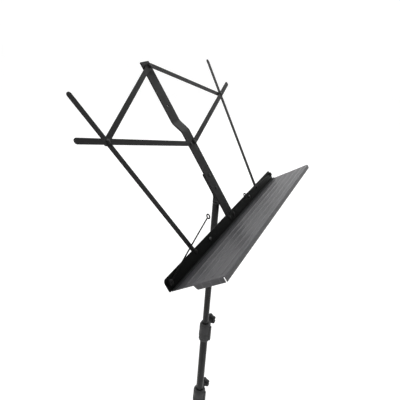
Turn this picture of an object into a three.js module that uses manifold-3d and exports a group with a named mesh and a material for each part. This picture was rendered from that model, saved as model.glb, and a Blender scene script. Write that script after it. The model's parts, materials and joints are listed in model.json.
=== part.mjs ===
// Music stand: a tilting desk of riveted flat bars and a ribbed shelf, on a telescopic pole and folding legs.
// Millimetres, +Z up, +X to the musician's right, +Y away from the musician.
import * as THREE from 'three';
import { mergeVertices } from 'three/addons/utils/BufferGeometryUtils.js';
import Module from 'manifold-3d';

const wasm = await Module();
wasm.setup();

// ---------------------------------------------------------------- driving dimensions
const GAP = 0.3;                      // clearance kept between touching pieces
const SHELF_HEIGHT = 960;             // floor to the shelf's back edge
const SHELF_OFFSET = 43;              // pole axis to the shelf's back edge, along Y
const DESK_LEAN = 35.87;              // desk plane from upright, degrees

const LEDGE = { halfLength: 256, height: 21.5, thickness: 1.5, flange: 8 };
const SHELF = { halfLength: 250, depth: 98, sheet: 1.2, lip: 9, sideLipStart: 42 };
const SHELF_RIB = { first: 24, pitch: 16, count: 5, halfWidth: 2.6, height: 0.9 };
const BAR = { width: 10, thickness: 1.5 };
const MAIN_BAR = {
  width: 28, thickness: 2.5, foot: 3, top: 352,
  step: 9.4, stepLow: 203, stepHigh: 226,
  plateHalf: 17, plateTop: 21, plateCorner: 4,
  hole: { u: 260, radius: 2 },
};

// pivots of the lattice on the desk plane: across, and up from the shelf
const LEDGE_PIN = { x: 155, u: 16 };
const CORNER_PIN = { x: 211, u: 240 };
const BRACE_PIN = { x: 8.3, u: 176 };
const CROWN_PIN = { x: 0, u: 341 };
const FOOT_PIN = { x: 10, u: 12 };
const SHELF_SCREW = { x: 102, u: 12 };
const SIDE_BAR_REACH = 320;           // ledge pin to the side bar's free end
const BRACE_REACH = 275;              // brace pin to the brace bar's free end

// fronts of the layers, along the lattice's normal from the ledge's front face
const LAYER = { brace: 0, side: -1.8, main: -1.8, topRight: -3.6, topLeft: -5.4 };
const LATTICE_LEAN = 0.5;             // degrees that the bars lean forward of the ledge, about its top edge

const WIRE = { radius: 1.25, eye: 3.8, loop: 4.2, pivotX: 247, pivotU: 12.6, front: 2.8 };
const LEFT_WIRE = { side: -1, length: 173, rise: 11.2 };
const RIGHT_WIRE = { side: 1, length: 165, rise: 3.5 };
const WIRE_SCREW = { shank: 2.2, tail: 3.6, head: 4.4 };

const UPPER_TUBE = { outer: 7, inner: 6, low: 380, high: 988 };
const MIDDLE_TUBE = { outer: 9, inner: 7.8, low: 150, high: 654 };
const LOWER_TUBE = { outer: 11.2, inner: 9.7, low: 28.3, high: 430 };
const TILT_PIVOT_DEPTH = 11;          // tilt axis behind the ledge's front face
const HEAD = { halfWidth: 4.1, lug: 6.5, plug: 16, shoulder: 3 };
const TILT_BOLT = { radius: 3, head: 4.2, left: -9.3, right: 20 };
const WING_NUT = { radius: 4.8, length: 12, wingLow: 8.7, wingHigh: 19, reach: 13, half: 1.3 };
const BRACKET = {
  half: 6, low: 66, high: 113, depth: 8.3, sheet: 1.5,
  ear: 1.6,                           // thickness of an ear
  eye: 5.6,                           // radius of an ear's end round the tilt bolt
  rivets: [76, 104],
};

const CLAMP = { below: 34, above: 18, wall: 4, boss: 6, screwHeight: 6.5 };
const CLAMP_KNOB = { screw: 3, grip: 13, gripDepth: 9, neck: 6, neckLength: 5 };
const COLLAR = {
  outer: 15.5, below: 14, above: 18, boss: 5.5, bossEnd: 21,
  screwHeight: 9,                     // above the leg pivots
  screwAzimuth: 150,
};
const COLLAR_KNOB = { screw: 3, grip: 11, gripDepth: 8, neck: 5, neckLength: 4 };
const SCREW_WAY = 3.3;                // radius of the hole for a hand screw
const PIN_HOLE = 2.5;                 // radius of the hole for a rivet or a pin

const LEG = {
  pivotRadius: 26, length: 340,
  open: 52,                           // lean of an open leg from upright, degrees
  strutAt: 150,                       // pivot to strut pin, and also the strut's own length
  inner: -5.5, outer: 6.5, half: 6, sheet: 1.5, overrun: 6,
};
const HUB = { low: 22, high: 56, outer: 15, floor: 6 };
const HUB_HEIGHT = 40;
const LUG = { half: 1.5, width: 9, root: 16 };
const BOOT = { half: 9, toe: 13.5, sole: -13, heel: -19.5, overlap: 28, socket: 60 };
const STRUT = { near: 1.8, far: 4.2, width: 9 };
const CROSS_PIN = { radius: 2.1, head: 3.6, rise: 1.2 };
const LEG_AZIMUTHS = [90, 210, 330];

const ROUND = 20;                     // sides of a turned piece
const ARC = 4;                        // segments of a half-round bar end

const rad = THREE.MathUtils.degToRad;

// ---------------------------------------------------------------- finishes
const finish = (color, roughness, metalness) => ({ color, roughness, metalness });
const SATIN_BLACK = finish(0x2f2e2e, 0.5, 0.35);
const DEEP_BLACK = finish(0x121413, 0.45, 0.3);
const SHELF_GREY = finish(0x5a595d, 0.42, 0.4);
const TUBE_BLACK = finish(0x2b2b2b, 0.35, 0.5);
const RIVET_STEEL = finish(0x3a3a3b, 0.35, 0.8);
const ZINC = finish(0xb9bbbd, 0.3, 0.9);
const PLASTIC = finish(0x1b1b1c, 0.55, 0.0);
const RUBBER = finish(0x161616, 0.85, 0.0);

function addPiece(parent, name, geometry, look) {
  const mesh = new THREE.Mesh(geometry, new THREE.MeshStandardMaterial(look));
  mesh.name = name;
  parent.add(mesh);
  return mesh;
}

// ---------------------------------------------------------------- solids: join and cut
function solidOf(geometry) {
  const bare = geometry.clone();
  bare.deleteAttribute('normal');
  bare.deleteAttribute('uv');
  const merged = mergeVertices(bare);
  const corners = merged.index.array;
  const triangles = [];
  for (let i = 0; i < corners.length; i += 3) {
    const [a, b, c] = [corners[i], corners[i + 1], corners[i + 2]];
    if (a !== b && b !== c && c !== a) {
      triangles.push(a, b, c);
    }
  }
  const vertProperties = Float32Array.from(merged.attributes.position.array);
  const triVerts = Uint32Array.from(triangles);
  return new wasm.Manifold(new wasm.Mesh({ numProp: 3, vertProperties, triVerts }));
}

function geometryOf(solid) {
  const mesh = solid.getMesh();
  const geometry = new THREE.BufferGeometry();
  geometry.setAttribute('position', new THREE.BufferAttribute(mesh.vertProperties, 3));
  geometry.setIndex(new THREE.BufferAttribute(mesh.triVerts, 1));
  geometry.computeVertexNormals();
  return geometry;
}

function joined(...geometries) {
  const solids = geometries.map(solidOf);
  return geometryOf(solids.slice(1).reduce((whole, next) => whole.add(next), solids[0]));
}

function cut(geometry, ...tools) {
  return geometryOf(tools.reduce((whole, tool) => whole.subtract(solidOf(tool)), solidOf(geometry)));
}

// ---------------------------------------------------------------- shared shapes
// A solid turned about Z from [radius, height] points listed upwards along its outside.
function turned(points, sides = ROUND) {
  const profile = points.map(([radius, height]) => new THREE.Vector2(radius, height));
  return new THREE.LatheGeometry(profile, sides).rotateX(Math.PI / 2);
}

function ring(inner, outer, low, high, sides = ROUND) {
  return turned([[inner, low], [outer, low], [outer, high], [inner, high], [inner, low]], sides);
}

function rod(radius, low, high, sides = 10) {
  return turned([[0, low], [radius, low], [radius, high], [0, high]], sides);
}

// Turns a solid built along Z so that it lies along X.
function alongX(geometry) {
  return geometry.rotateY(Math.PI / 2);
}

function plate(points, low, high) {
  const shape = new THREE.Shape(points.map(([x, y]) => new THREE.Vector2(x, y)));
  return new THREE.ExtrudeGeometry(shape, { depth: high - low, bevelEnabled: false }).translate(0, 0, low);
}

// A section in the desk's own (height, normal) plane, drawn out across the desk.
function acrossDesk(points, left, right) {
  const flipped = points.map(([height, normal]) => [-normal, height]);
  return plate(flipped, left, right).rotateY(Math.PI / 2);
}

// A flat bar with round ends along +X, from start to end, with round holes at the given distances.
function flatBar({ start, end, width, low, high, holes = [] }) {
  const half = width / 2;
  const shape = new THREE.Shape();
  shape.absarc(end - half, 0, half, -Math.PI / 2, Math.PI / 2, false);
  shape.absarc(start + half, 0, half, Math.PI / 2, 1.5 * Math.PI, false);
  for (const { at, radius } of holes) {
    const hole = new THREE.Path();
    hole.absarc(at, 0, radius, 0, 2 * Math.PI, true);
    shape.holes.push(hole);
  }
  const options = { depth: high - low, bevelEnabled: false, curveSegments: ARC };
  return new THREE.ExtrudeGeometry(shape, options).translate(0, 0, low);
}

// A rivet along Z: a domed head at the front, a shank and a flat tail behind.
function rivet({ front, back, shank = 2.2, head = 4, dome = 1, tail = 3.6, shoulders = [] }) {
  const points = [[0, back - dome], [tail, back - dome], [tail, back - GAP / 2], [shank, back - GAP / 2]];
  for (const { low, high, radius } of shoulders) {
    points.push([shank, low], [radius, low], [radius, high], [shank, high]);
  }
  const seat = front + GAP / 2;
  points.push([shank, seat], [head, seat], [head * 0.7, front + dome], [0, front + dome + GAP]);
  return turned(points, 10);
}

// A lobed hand knob on a screw along Z: the screw's tip is at zero, and the grip is at the far end.
const KNOB_LOBES = 6;
const KNOB_STEPS = 30;
const LOBE_DEPTH = 0.11;              // share of the grip's radius

function handKnob({ screw, screwLength, grip, gripDepth, neck, neckLength }) {
  const outline = [];
  for (let i = 0; i < KNOB_STEPS; i += 1) {
    const turn = (i / KNOB_STEPS) * 2 * Math.PI;
    const radius = grip * (1 + LOBE_DEPTH * Math.cos(KNOB_LOBES * turn));
    outline.push([radius * Math.cos(turn), radius * Math.sin(turn)]);
  }
  const gripLow = screwLength + neckLength;
  const gripHigh = gripLow + gripDepth;
  const lobes = plate(outline, gripLow, gripHigh);
  const stem = turned([
    [0, 0], [screw, 0], [screw, screwLength], [neck, screwLength], [neck * 1.15, gripLow + 1],
    [grip * 0.6, gripHigh - 1], [grip * 0.5, gripHigh + 1.5], [0, gripHigh + 2],
  ], 20);
  return joined(lobes, stem);
}

// ---------------------------------------------------------------- desk
function mainBarGeometry() {
  const { width, thickness, foot, top, step, stepLow, stepHigh } = MAIN_BAR;
  const { plateHalf, plateTop, plateCorner, hole } = MAIN_BAR;
  const front = LAYER.main;
  const back = front - thickness;
  const bent = acrossDesk([
    [foot, front], [foot, back], [stepLow, back], [stepHigh, back - step], [top, back - step],
    [top, front - step], [stepHigh, front - step], [stepLow, front],
  ], -width / 2, width / 2);
  const shoulder = plateTop - plateCorner;
  const neck = plateHalf - plateCorner;
  const footPlate = plate([
    [-plateHalf, foot], [plateHalf, foot], [plateHalf, shoulder],
    [neck, plateTop], [-neck, plateTop], [-plateHalf, shoulder],
  ], back, front);
  const cuts = [];
  for (const side of [-1, 1]) {
    cuts.push(rod(PIN_HOLE, back - 1, front + 1).translate(side * FOOT_PIN.x, FOOT_PIN.u, 0));
    cuts.push(rod(PIN_HOLE, back - 1, front + 1).translate(side * BRACE_PIN.x, BRACE_PIN.u, 0));
  }
  for (const height of BRACKET.rivets) {
    cuts.push(rod(PIN_HOLE, back - 1, front + 1).translate(0, height, 0));
  }
  cuts.push(rod(hole.radius, back - step - 1, front - step + 1).translate(0, hole.u, 0));
  cuts.push(rod(PIN_HOLE, back - step - 1, front - step + 1).translate(0, CROWN_PIN.u, 0));
  return cut(joined(bent, footPlate), ...cuts);
}

// The tilt bracket: a channel riveted behind the centre bar, whose ears reach down past the tilt axis.
function tiltBracketGeometry(pivot) {
  const { ear, half, low, high, depth, eye, sheet, rivets } = BRACKET;
  const front = LAYER.main - MAIN_BAR.thickness - GAP;
  const back = front - sheet;
  const rear = LAYER.main - MAIN_BAR.thickness - depth;
  const base = plate([[-half, low], [half, low], [half, high], [-half, high]], back, front);
  const side = [
    [pivot.u - eye, front], [pivot.u - eye, pivot.n - 1], [pivot.u - eye * 0.7, pivot.n - eye * 0.7],
    [pivot.u, pivot.n - eye], [pivot.u + eye * 0.7, pivot.n - eye * 0.7], [low, rear - 0.6], [low + 4, rear],
    [high - 3, rear], [high, rear + 4], [high, front],
  ];
  const leftEar = acrossDesk(side, -half, -half + ear);
  const rightEar = acrossDesk(side, half - ear, half);
  const bore = alongX(rod(TILT_BOLT.radius + GAP, -20, 20, ROUND)).translate(0, pivot.u, pivot.n);
  const rivetHoles = rivets.map((height) => rod(PIN_HOLE, back - 1, front + 1).translate(0, height, 0));
  return cut(joined(base, leftEar, rightEar), bore, ...rivetHoles);
}

function ledgeGeometry() {
  const { halfLength, height, thickness, flange } = LEDGE;
  const corner = 6;
  const foot = GAP;
  const face = plate([
    [-halfLength + 2, foot], [halfLength - 2, foot], [halfLength, foot + 3], [halfLength, height - corner],
    [halfLength - 1.8, height - 1.8], [halfLength - corner, height], [-halfLength + corner, height],
    [-halfLength + 1.8, height - 1.8], [-halfLength, height - corner], [-halfLength, foot + 3],
  ], -thickness, 0);
  const floor = acrossDesk([
    [foot, -thickness], [foot + thickness, -thickness], [foot + thickness, flange], [foot, flange],
  ], -halfLength + 6, halfLength - 6);
  const holes = [];
  for (const side of [-1, 1]) {
    for (const { x, u } of [FOOT_PIN, LEDGE_PIN, SHELF_SCREW, { x: WIRE.pivotX, u: WIRE.pivotU }]) {
      holes.push(rod(PIN_HOLE, -thickness - 1, 1).translate(side * x, u, 0));
    }
  }
  return cut(joined(face, floor), ...holes);
}

// The shelf: a sheet square to the desk with pressed ribs along it and its front and side edges turned down.
function shelfGeometry() {
  const { halfLength, depth, sheet, lip, sideLipStart } = SHELF;
  const top = [[0, -LEDGE.thickness]];
  for (let i = 0; i < SHELF_RIB.count; i += 1) {
    const middle = SHELF_RIB.first + i * SHELF_RIB.pitch;
    top.push([0, middle - SHELF_RIB.halfWidth], [SHELF_RIB.height, middle - 0.9]);
    top.push([SHELF_RIB.height, middle + 0.9], [0, middle + SHELF_RIB.halfWidth]);
  }
  top.push([0, depth - 1.2], [-0.4, depth - 0.3], [-1.2, depth]);
  const under = [[-lip, depth], [-lip, depth - sheet], [-sheet, depth - sheet], [-sheet, -LEDGE.thickness]];
  const outline = [...top, ...under];
  const sheetBody = acrossDesk(outline, -halfLength + 2.4, halfLength - 2.4);
  const sideLip = [
    [0, 0], [0, depth - 3], [-lip, depth - 3], [-lip, sideLipStart + 4], [-lip + 1.2, sideLipStart + 1.2],
    [-lip + 4, sideLipStart], [-sheet, sideLipStart], [-sheet, 0],
  ];
  const bodies = [sheetBody];
  for (const side of [-1, 1]) {
    const edge = acrossDesk(sideLip, 0, sheet).translate(side > 0 ? halfLength - sheet : -halfLength, 0, 0);
    const strip = acrossDesk([[0, 0], [0, depth - 3], [-sheet, depth - 3], [-sheet, 0]], 0, 2.6);
    bodies.push(edge, strip.translate(side > 0 ? halfLength - 2.6 : -halfLength, 0, 0));
  }
  return joined(...bodies);
}

function barBetween(from, to, reach, front, holes) {
  const direction = Math.atan2(to.u - from.u, to.x - from.x);
  const bar = flatBar({
    start: -BAR.width / 2,
    end: reach,
    width: BAR.width,
    low: front - BAR.thickness,
    high: front,
    holes: holes.map((at) => ({ at, radius: PIN_HOLE })),
  });
  return bar.rotateZ(direction).translate(from.x, from.u, 0);
}

function distance(a, b) {
  return Math.hypot(b.x - a.x, b.u - a.u);
}

function mirrored(point, side) {
  return { x: side * point.x, u: point.u };
}

function addLattice(lattice, side, label) {
  const ledgePin = mirrored(LEDGE_PIN, side);
  const cornerPin = mirrored(CORNER_PIN, side);
  const bracePin = mirrored(BRACE_PIN, side);
  const sideSpan = distance(ledgePin, cornerPin);
  const braceSpan = distance(bracePin, cornerPin);
  const topSpan = distance(cornerPin, CROWN_PIN);
  const topFront = side < 0 ? LAYER.topLeft : LAYER.topRight;
  const topReach = topSpan + BAR.width / 2;
  addPiece(lattice, `side_bar_${label}`,
    barBetween(ledgePin, cornerPin, SIDE_BAR_REACH, LAYER.side, [0, sideSpan]), SATIN_BLACK);
  addPiece(lattice, `brace_bar_${label}`,
    barBetween(bracePin, cornerPin, BRACE_REACH, LAYER.brace, [0, braceSpan]), SATIN_BLACK);
  addPiece(lattice, `top_bar_${label}`,
    barBetween(cornerPin, CROWN_PIN, topReach, topFront, [0, topSpan]), SATIN_BLACK);

  const back = topFront - BAR.thickness;
  const washer = { low: topFront + GAP / 2, high: LAYER.side - BAR.thickness - GAP / 2, radius: 4.5 };
  const cornerRivet = rivet({ front: LAYER.brace, back, shoulders: side < 0 ? [washer] : [] });
  addPiece(lattice, `corner_rivet_${label}`, cornerRivet.translate(cornerPin.x, cornerPin.u, 0), RIVET_STEEL);
  const braceRivet = rivet({ front: LAYER.brace, back: LAYER.main - MAIN_BAR.thickness, head: 3.4 });
  addPiece(lattice, `brace_rivet_${label}`, braceRivet.translate(bracePin.x, bracePin.u, 0), RIVET_STEEL);
}

// Rivets and screws that stand square to the ledge. Their tails clear the bars, which lean a little.
function addLedgeFasteners(desk, side, label) {
  const ledgeRivet = rivet({ front: 0, back: LAYER.side - BAR.thickness - GAP / 2 });
  ledgeRivet.translate(side * LEDGE_PIN.x, LEDGE_PIN.u, 0);
  addPiece(desk, `ledge_rivet_${label}`, ledgeRivet, RIVET_STEEL);
  const footRivet = rivet({ front: 0, back: LAYER.main - MAIN_BAR.thickness - GAP });
  addPiece(desk, `foot_rivet_${label}`, footRivet.translate(side * FOOT_PIN.x, FOOT_PIN.u, 0), RIVET_STEEL);
  const screw = rivet({ front: 0, back: -LEDGE.thickness, head: 3.4, dome: 1.4 });
  addPiece(desk, `shelf_screw_${label}`, screw.translate(side * SHELF_SCREW.x, SHELF_SCREW.u, 0), ZINC);

  const { shank, tail, head } = WIRE_SCREW;
  const seat = -LEDGE.thickness - GAP / 2;
  const top = WIRE.front + WIRE.radius + GAP;
  const wireScrew = turned([
    [0, seat - 1.5], [tail, seat - 1.5], [tail, seat], [shank, seat], [shank, top], [head, top],
    [head - 0.6, top + 1.2], [0, top + 1.5],
  ], 16);
  addPiece(desk, `page_wire_screw_${label}`, wireScrew.translate(side * WIRE.pivotX, WIRE.pivotU, 0), ZINC);
}

function pageWireGeometry({ side, length, rise }) {
  const eye = new THREE.TorusGeometry(WIRE.eye, WIRE.radius, 6, 12);
  const loop = new THREE.TorusGeometry(WIRE.loop, WIRE.radius, 6, 12).translate(length, 0, 0);
  const shaft = alongX(rod(WIRE.radius, WIRE.eye, length - WIRE.loop, 8));
  const wire = joined(eye, loop, shaft);
  const direction = side < 0 ? rad(rise) : Math.PI - rad(rise);
  return wire.rotateZ(direction).translate(side * WIRE.pivotX, WIRE.pivotU, WIRE.front);
}

// A wing nut along Z: a round body, and two wings that start beyond the centre bar's edge.
function wingNutGeometry() {
  const { radius, length, wingLow, wingHigh, reach, half } = WING_NUT;
  const body = turned([
    [0, 0], [radius + 1, 0], [radius + 1, 1.5], [radius, 3], [radius - 0.8, length], [0, length],
  ]);
  const wing = [
    [3.6, wingLow], [reach - 4, wingLow + 0.5], [reach, wingLow + 4], [reach, wingHigh - 1.5],
    [reach - 2, wingHigh], [reach - 5, wingHigh - 1.5], [3.6, wingLow + 3.2],
  ];
  const other = wing.map(([out, height]) => [-out, height]).reverse();
  const wings = [wing, other].map((outline) => plate(outline, -half, half).rotateX(Math.PI / 2));
  const bore = rod(TILT_BOLT.radius + GAP, -1, wingHigh + 1, ROUND);
  return cut(joined(body, ...wings), bore);
}

function addTiltFasteners(desk, pivot) {
  const { radius, head, left, right } = TILT_BOLT;
  const seat = BRACKET.half + GAP;
  const bolt = turned([[0, left], [head, left], [head, -seat], [radius, -seat], [radius, right], [0, right]]);
  addPiece(desk, 'tilt_bolt', alongX(bolt).translate(0, pivot.u, pivot.n), RIVET_STEEL);
  // the wings start in line with the centre bar
  const nut = wingNutGeometry().rotateZ(Math.PI / 2);
  addPiece(desk, 'tilt_wing_nut', alongX(nut).translate(seat, pivot.u, pivot.n), RIVET_STEEL);
}

// The same point seen from the lattice, which is turned about the ledge's top edge.
function inLattice(point) {
  const lean = rad(LATTICE_LEAN);
  const above = point.u - LEDGE.height;
  return {
    u: LEDGE.height + above * Math.cos(lean) + point.n * Math.sin(lean),
    n: point.n * Math.cos(lean) - above * Math.sin(lean),
  };
}

function buildLattice(pivot) {
  const bars = new THREE.Group();
  addPiece(bars, 'main_bar', mainBarGeometry(), SATIN_BLACK);
  addPiece(bars, 'tilt_bracket', tiltBracketGeometry(inLattice(pivot)), SATIN_BLACK);
  addLattice(bars, -1, 'left');
  addLattice(bars, 1, 'right');
  const crownFront = LAYER.main - MAIN_BAR.step;
  const spacer = { low: crownFront + GAP / 2, high: LAYER.topLeft - BAR.thickness - GAP / 2, radius: 4.5 };
  const crown = rivet({ front: LAYER.topRight, back: crownFront - MAIN_BAR.thickness, shoulders: [spacer] });
  addPiece(bars, 'crown_rivet', crown.translate(CROWN_PIN.x, CROWN_PIN.u, 0), RIVET_STEEL);
  BRACKET.rivets.forEach((height, index) => {
    const back = LAYER.main - MAIN_BAR.thickness - GAP - BRACKET.sheet;
    const bracketRivet = rivet({ front: LAYER.main, back, head: 3.4, tail: 3.4 });
    addPiece(bars, `bracket_rivet_${index + 1}`, bracketRivet.translate(0, height, 0), RIVET_STEEL);
  });
  bars.position.y = -LEDGE.height;
  const lattice = new THREE.Group();
  lattice.add(bars);
  lattice.position.y = LEDGE.height;
  lattice.rotation.x = rad(LATTICE_LEAN);
  return lattice;
}

function buildDesk(pivot) {
  const desk = new THREE.Group();
  desk.add(buildLattice(pivot));
  addPiece(desk, 'ledge', ledgeGeometry(), DEEP_BLACK);
  addPiece(desk, 'music_shelf', shelfGeometry(), SHELF_GREY);
  addLedgeFasteners(desk, -1, 'left');
  addLedgeFasteners(desk, 1, 'right');
  addPiece(desk, 'page_wire_left', pageWireGeometry(LEFT_WIRE), ZINC);
  addPiece(desk, 'page_wire_right', pageWireGeometry(RIGHT_WIRE), ZINC);
  addTiltFasteners(desk, pivot);
  return desk;
}

// ---------------------------------------------------------------- pole
// Height of the tilt axis: it lies on the pole's axis, at a set depth behind the leaning desk.
function tiltPivot() {
  const lean = rad(DESK_LEAN);
  const rise = (SHELF_OFFSET * Math.cos(lean) - TILT_PIVOT_DEPTH) / Math.sin(lean);
  const up = SHELF_OFFSET * Math.sin(lean) + rise * Math.cos(lean);
  return { u: up, n: -TILT_PIVOT_DEPTH, z: SHELF_HEIGHT + rise };
}

// The pole's head: a plug in the upper tube, carrying a tongue that the bracket's ears hold.
function poleHeadGeometry(pivot) {
  const { halfWidth, lug, plug, shoulder } = HEAD;
  const { outer, inner, high } = UPPER_TUBE;
  const bore = inner - GAP;
  const top = high + GAP + shoulder;
  const body = turned([
    [0, high - plug], [bore - 0.7, high - plug], [bore, high - plug + 1], [bore, high + GAP],
    [outer, high + GAP], [outer, top - 1], [outer - 1, top], [0, top],
  ], 24);
  const tongueEnd = alongX(rod(lug, -halfWidth, halfWidth, ROUND)).translate(0, 0, pivot.z);
  const tongue = new THREE.BoxGeometry(2 * halfWidth, 2 * lug - 0.4, pivot.z - top + 2);
  tongue.translate(0, 0, (pivot.z + top - 2) / 2);
  const boltHole = alongX(rod(TILT_BOLT.radius + GAP, -20, 20, ROUND)).translate(0, 0, pivot.z);
  return cut(joined(body, tongueEnd, tongue), boltHole);
}

function tubePlug(tube, sliding) {
  const bore = tube.inner - GAP;
  return turned([[0, tube.low - 8], [sliding - 0.8, tube.low - 8], [sliding, tube.low - 7],
    [sliding, tube.low - GAP], [bore, tube.low - GAP], [bore, tube.low + 12], [0, tube.low + 12]], 16);
}

function clampHeight(outerTube) {
  return outerTube.high + CLAMP.screwHeight;
}

// A clamp collar round the top of an outer tube, with a side boss for its hand screw.
function clampHousing(outerTube, innerTube) {
  const low = outerTube.high - CLAMP.below;
  const high = outerTube.high + CLAMP.above;
  const wall = outerTube.outer + CLAMP.wall;
  const seat = outerTube.high + GAP;
  const sleeveBore = outerTube.outer + GAP;
  const throat = innerTube.outer + GAP;
  const body = turned([
    [sleeveBore, low], [wall - 1, low], [wall, low + 1.5], [wall, high - 6], [innerTube.outer + 3, high],
    [throat, high], [throat, seat], [sleeveBore, seat], [sleeveBore, low],
  ], 24);
  const height = clampHeight(outerTube);
  const boss = alongX(rod(CLAMP.boss, innerTube.outer + 1.5, wall + CLAMP.boss, ROUND));
  const screwWay = alongX(rod(SCREW_WAY, innerTube.outer - 1, wall + CLAMP.boss + 2, 16));
  return cut(joined(body, boss.translate(0, 0, height)), screwWay.translate(0, 0, height));
}

function clampKnob(outerTube, innerTube) {
  const tip = innerTube.outer + GAP;
  const seat = outerTube.outer + CLAMP.wall + CLAMP.boss + GAP;
  const knob = handKnob({ ...CLAMP_KNOB, screwLength: seat - tip });
  return alongX(knob).translate(tip, 0, clampHeight(outerTube));
}

function addPole(stand, pivot) {
  const tubes = { upper_tube: UPPER_TUBE, middle_tube: MIDDLE_TUBE, lower_tube: LOWER_TUBE };
  for (const [name, { inner, outer, low, high }] of Object.entries(tubes)) {
    addPiece(stand, name, ring(inner, outer, low, high, 24), TUBE_BLACK);
  }
  addPiece(stand, 'pole_head', poleHeadGeometry(pivot), PLASTIC);
  addPiece(stand, 'upper_tube_plug', tubePlug(UPPER_TUBE, MIDDLE_TUBE.inner - GAP), PLASTIC);
  addPiece(stand, 'middle_tube_plug', tubePlug(MIDDLE_TUBE, LOWER_TUBE.inner - GAP), PLASTIC);
  addPiece(stand, 'upper_clamp', clampHousing(MIDDLE_TUBE, UPPER_TUBE), PLASTIC);
  addPiece(stand, 'upper_clamp_knob', clampKnob(MIDDLE_TUBE, UPPER_TUBE), PLASTIC);
  addPiece(stand, 'lower_clamp', clampHousing(LOWER_TUBE, MIDDLE_TUBE), PLASTIC);
  addPiece(stand, 'lower_clamp_knob', clampKnob(LOWER_TUBE, MIDDLE_TUBE), PLASTIC);
}

// ---------------------------------------------------------------- tripod
function lugs(height, root) {
  return LEG_AZIMUTHS.map((azimuth) => {
    const lug = flatBar({ start: root - LUG.width / 2, end: LEG.pivotRadius + LUG.width / 2, width: LUG.width,
      low: -LUG.half, high: LUG.half, holes: [{ at: LEG.pivotRadius, radius: PIN_HOLE }] });
    return lug.rotateX(Math.PI / 2).rotateZ(rad(azimuth)).translate(0, 0, height);
  });
}

function hubGeometry() {
  const { low, high, outer, floor } = HUB;
  const bore = LOWER_TUBE.outer + GAP;
  const cup = turned([
    [0, low], [outer - 3, low], [outer, low + 3], [outer, high],
    [bore, high], [bore, low + floor], [0, low + floor],
  ], 24);
  return joined(cup, ...lugs(HUB_HEIGHT, LUG.root));
}

// Turns a solid built along Z so that it points outwards through the collar's screw boss.
function atCollarScrew(geometry, height) {
  return alongX(geometry).rotateZ(rad(COLLAR.screwAzimuth)).translate(0, 0, height + COLLAR.screwHeight);
}

function collarGeometry(height) {
  const bore = LOWER_TUBE.outer + GAP;
  const sleeve = ring(bore, COLLAR.outer, height - COLLAR.below, height + COLLAR.above, 24);
  const boss = atCollarScrew(rod(COLLAR.boss, bore + 1.5, COLLAR.bossEnd, ROUND), height);
  const screwWay = atCollarScrew(rod(SCREW_WAY, bore - 2, COLLAR.bossEnd + 2, 16), height);
  return cut(joined(sleeve, boss, ...lugs(height, LUG.root)), screwWay);
}

function collarKnob(height) {
  const tip = LOWER_TUBE.outer + GAP;
  const knob = handKnob({ ...COLLAR_KNOB, screwLength: COLLAR.bossEnd + GAP - tip });
  return atCollarScrew(knob.translate(0, 0, tip), height);
}

// A leg is a channel, open towards the pole, built upright from its pivot at the origin.
function legGeometry() {
  const { half, sheet, inner, outer, length, strutAt, overrun } = LEG;
  const channel = plate([
    [inner, -half], [outer, -half], [outer, half], [inner, half], [inner, half - sheet],
    [outer - sheet, half - sheet], [outer - sheet, -half + sheet], [inner, -half + sheet],
  ], -length, overrun);
  const hole = (height) => rod(PIN_HOLE, -half - 3, half + 3).rotateX(Math.PI / 2).translate(0, 0, height);
  const holes = [0, -strutAt].map(hole);
  return cut(channel, ...holes);
}

function strutGeometry() {
  const bar = flatBar({ start: -STRUT.width / 2, end: LEG.strutAt + STRUT.width / 2, width: STRUT.width,
    low: STRUT.near, high: STRUT.far, holes: [{ at: 0, radius: PIN_HOLE }] });
  return bar.rotateX(-Math.PI / 2).rotateY(Math.PI / 2);
}

// A pin across a leg, headed on both sides of the channel.
function crossPin() {
  const { radius, head, rise } = CROSS_PIN;
  const face = LEG.half + GAP / 2;
  return turned([
    [0, -face - rise], [head, -face - rise], [head, -face], [radius, -face], [radius, face],
    [head, face], [head, face + rise - 0.5], [head - 1, face + rise], [0, face + rise + 0.1],
  ], 10).rotateX(Math.PI / 2);
}

function hubPin() {
  const { radius, head } = CROSS_PIN;
  const face = LUG.half + GAP / 2;
  return turned([
    [0, -LUG.half], [radius, -LUG.half], [radius, face], [head, face],
    [head - 0.2, face + 1.05], [0, face + 1.15],
  ], 10).rotateX(Math.PI / 2);
}

// The rubber boot, in the upright radial plane, with a socket for the end of the open leg.
function footGeometry(collarHeight) {
  const { half, toe, sole, heel, overlap, socket } = BOOT;
  const lean = rad(LEG.open);
  const along = { r: -Math.sin(lean), z: Math.cos(lean) };
  const across = { r: Math.cos(lean), z: Math.sin(lean) };
  const endR = LEG.pivotRadius + LEG.length * Math.sin(lean);
  const endZ = collarHeight - LEG.length * Math.cos(lean);
  const corner = (up, out) => [endR + up * along.r + out * across.r, endZ + up * along.z + out * across.z];
  const sides = plate([
    [endR + sole, 0], [endR + toe - 4.5, 0], [endR + toe - 0.5, 3], [endR + toe, 9],
    corner(-4, 9.5), corner(overlap, 9.2), corner(overlap + 1, 7), corner(overlap + 1, -7),
    corner(overlap - 2, -8.5), [endR + heel, 8], [endR + heel + 2.5, 4],
  ], -half, half).rotateX(Math.PI / 2);
  const legWay = new THREE.BoxGeometry(LEG.outer - LEG.inner + 2 * GAP, 2 * (LEG.half + GAP), socket);
  legWay.translate((LEG.outer + LEG.inner) / 2, 0, socket / 2 - LEG.length - GAP);
  legWay.rotateY(-lean).translate(LEG.pivotRadius, 0, collarHeight);
  return cut(sides, legWay);
}

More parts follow.
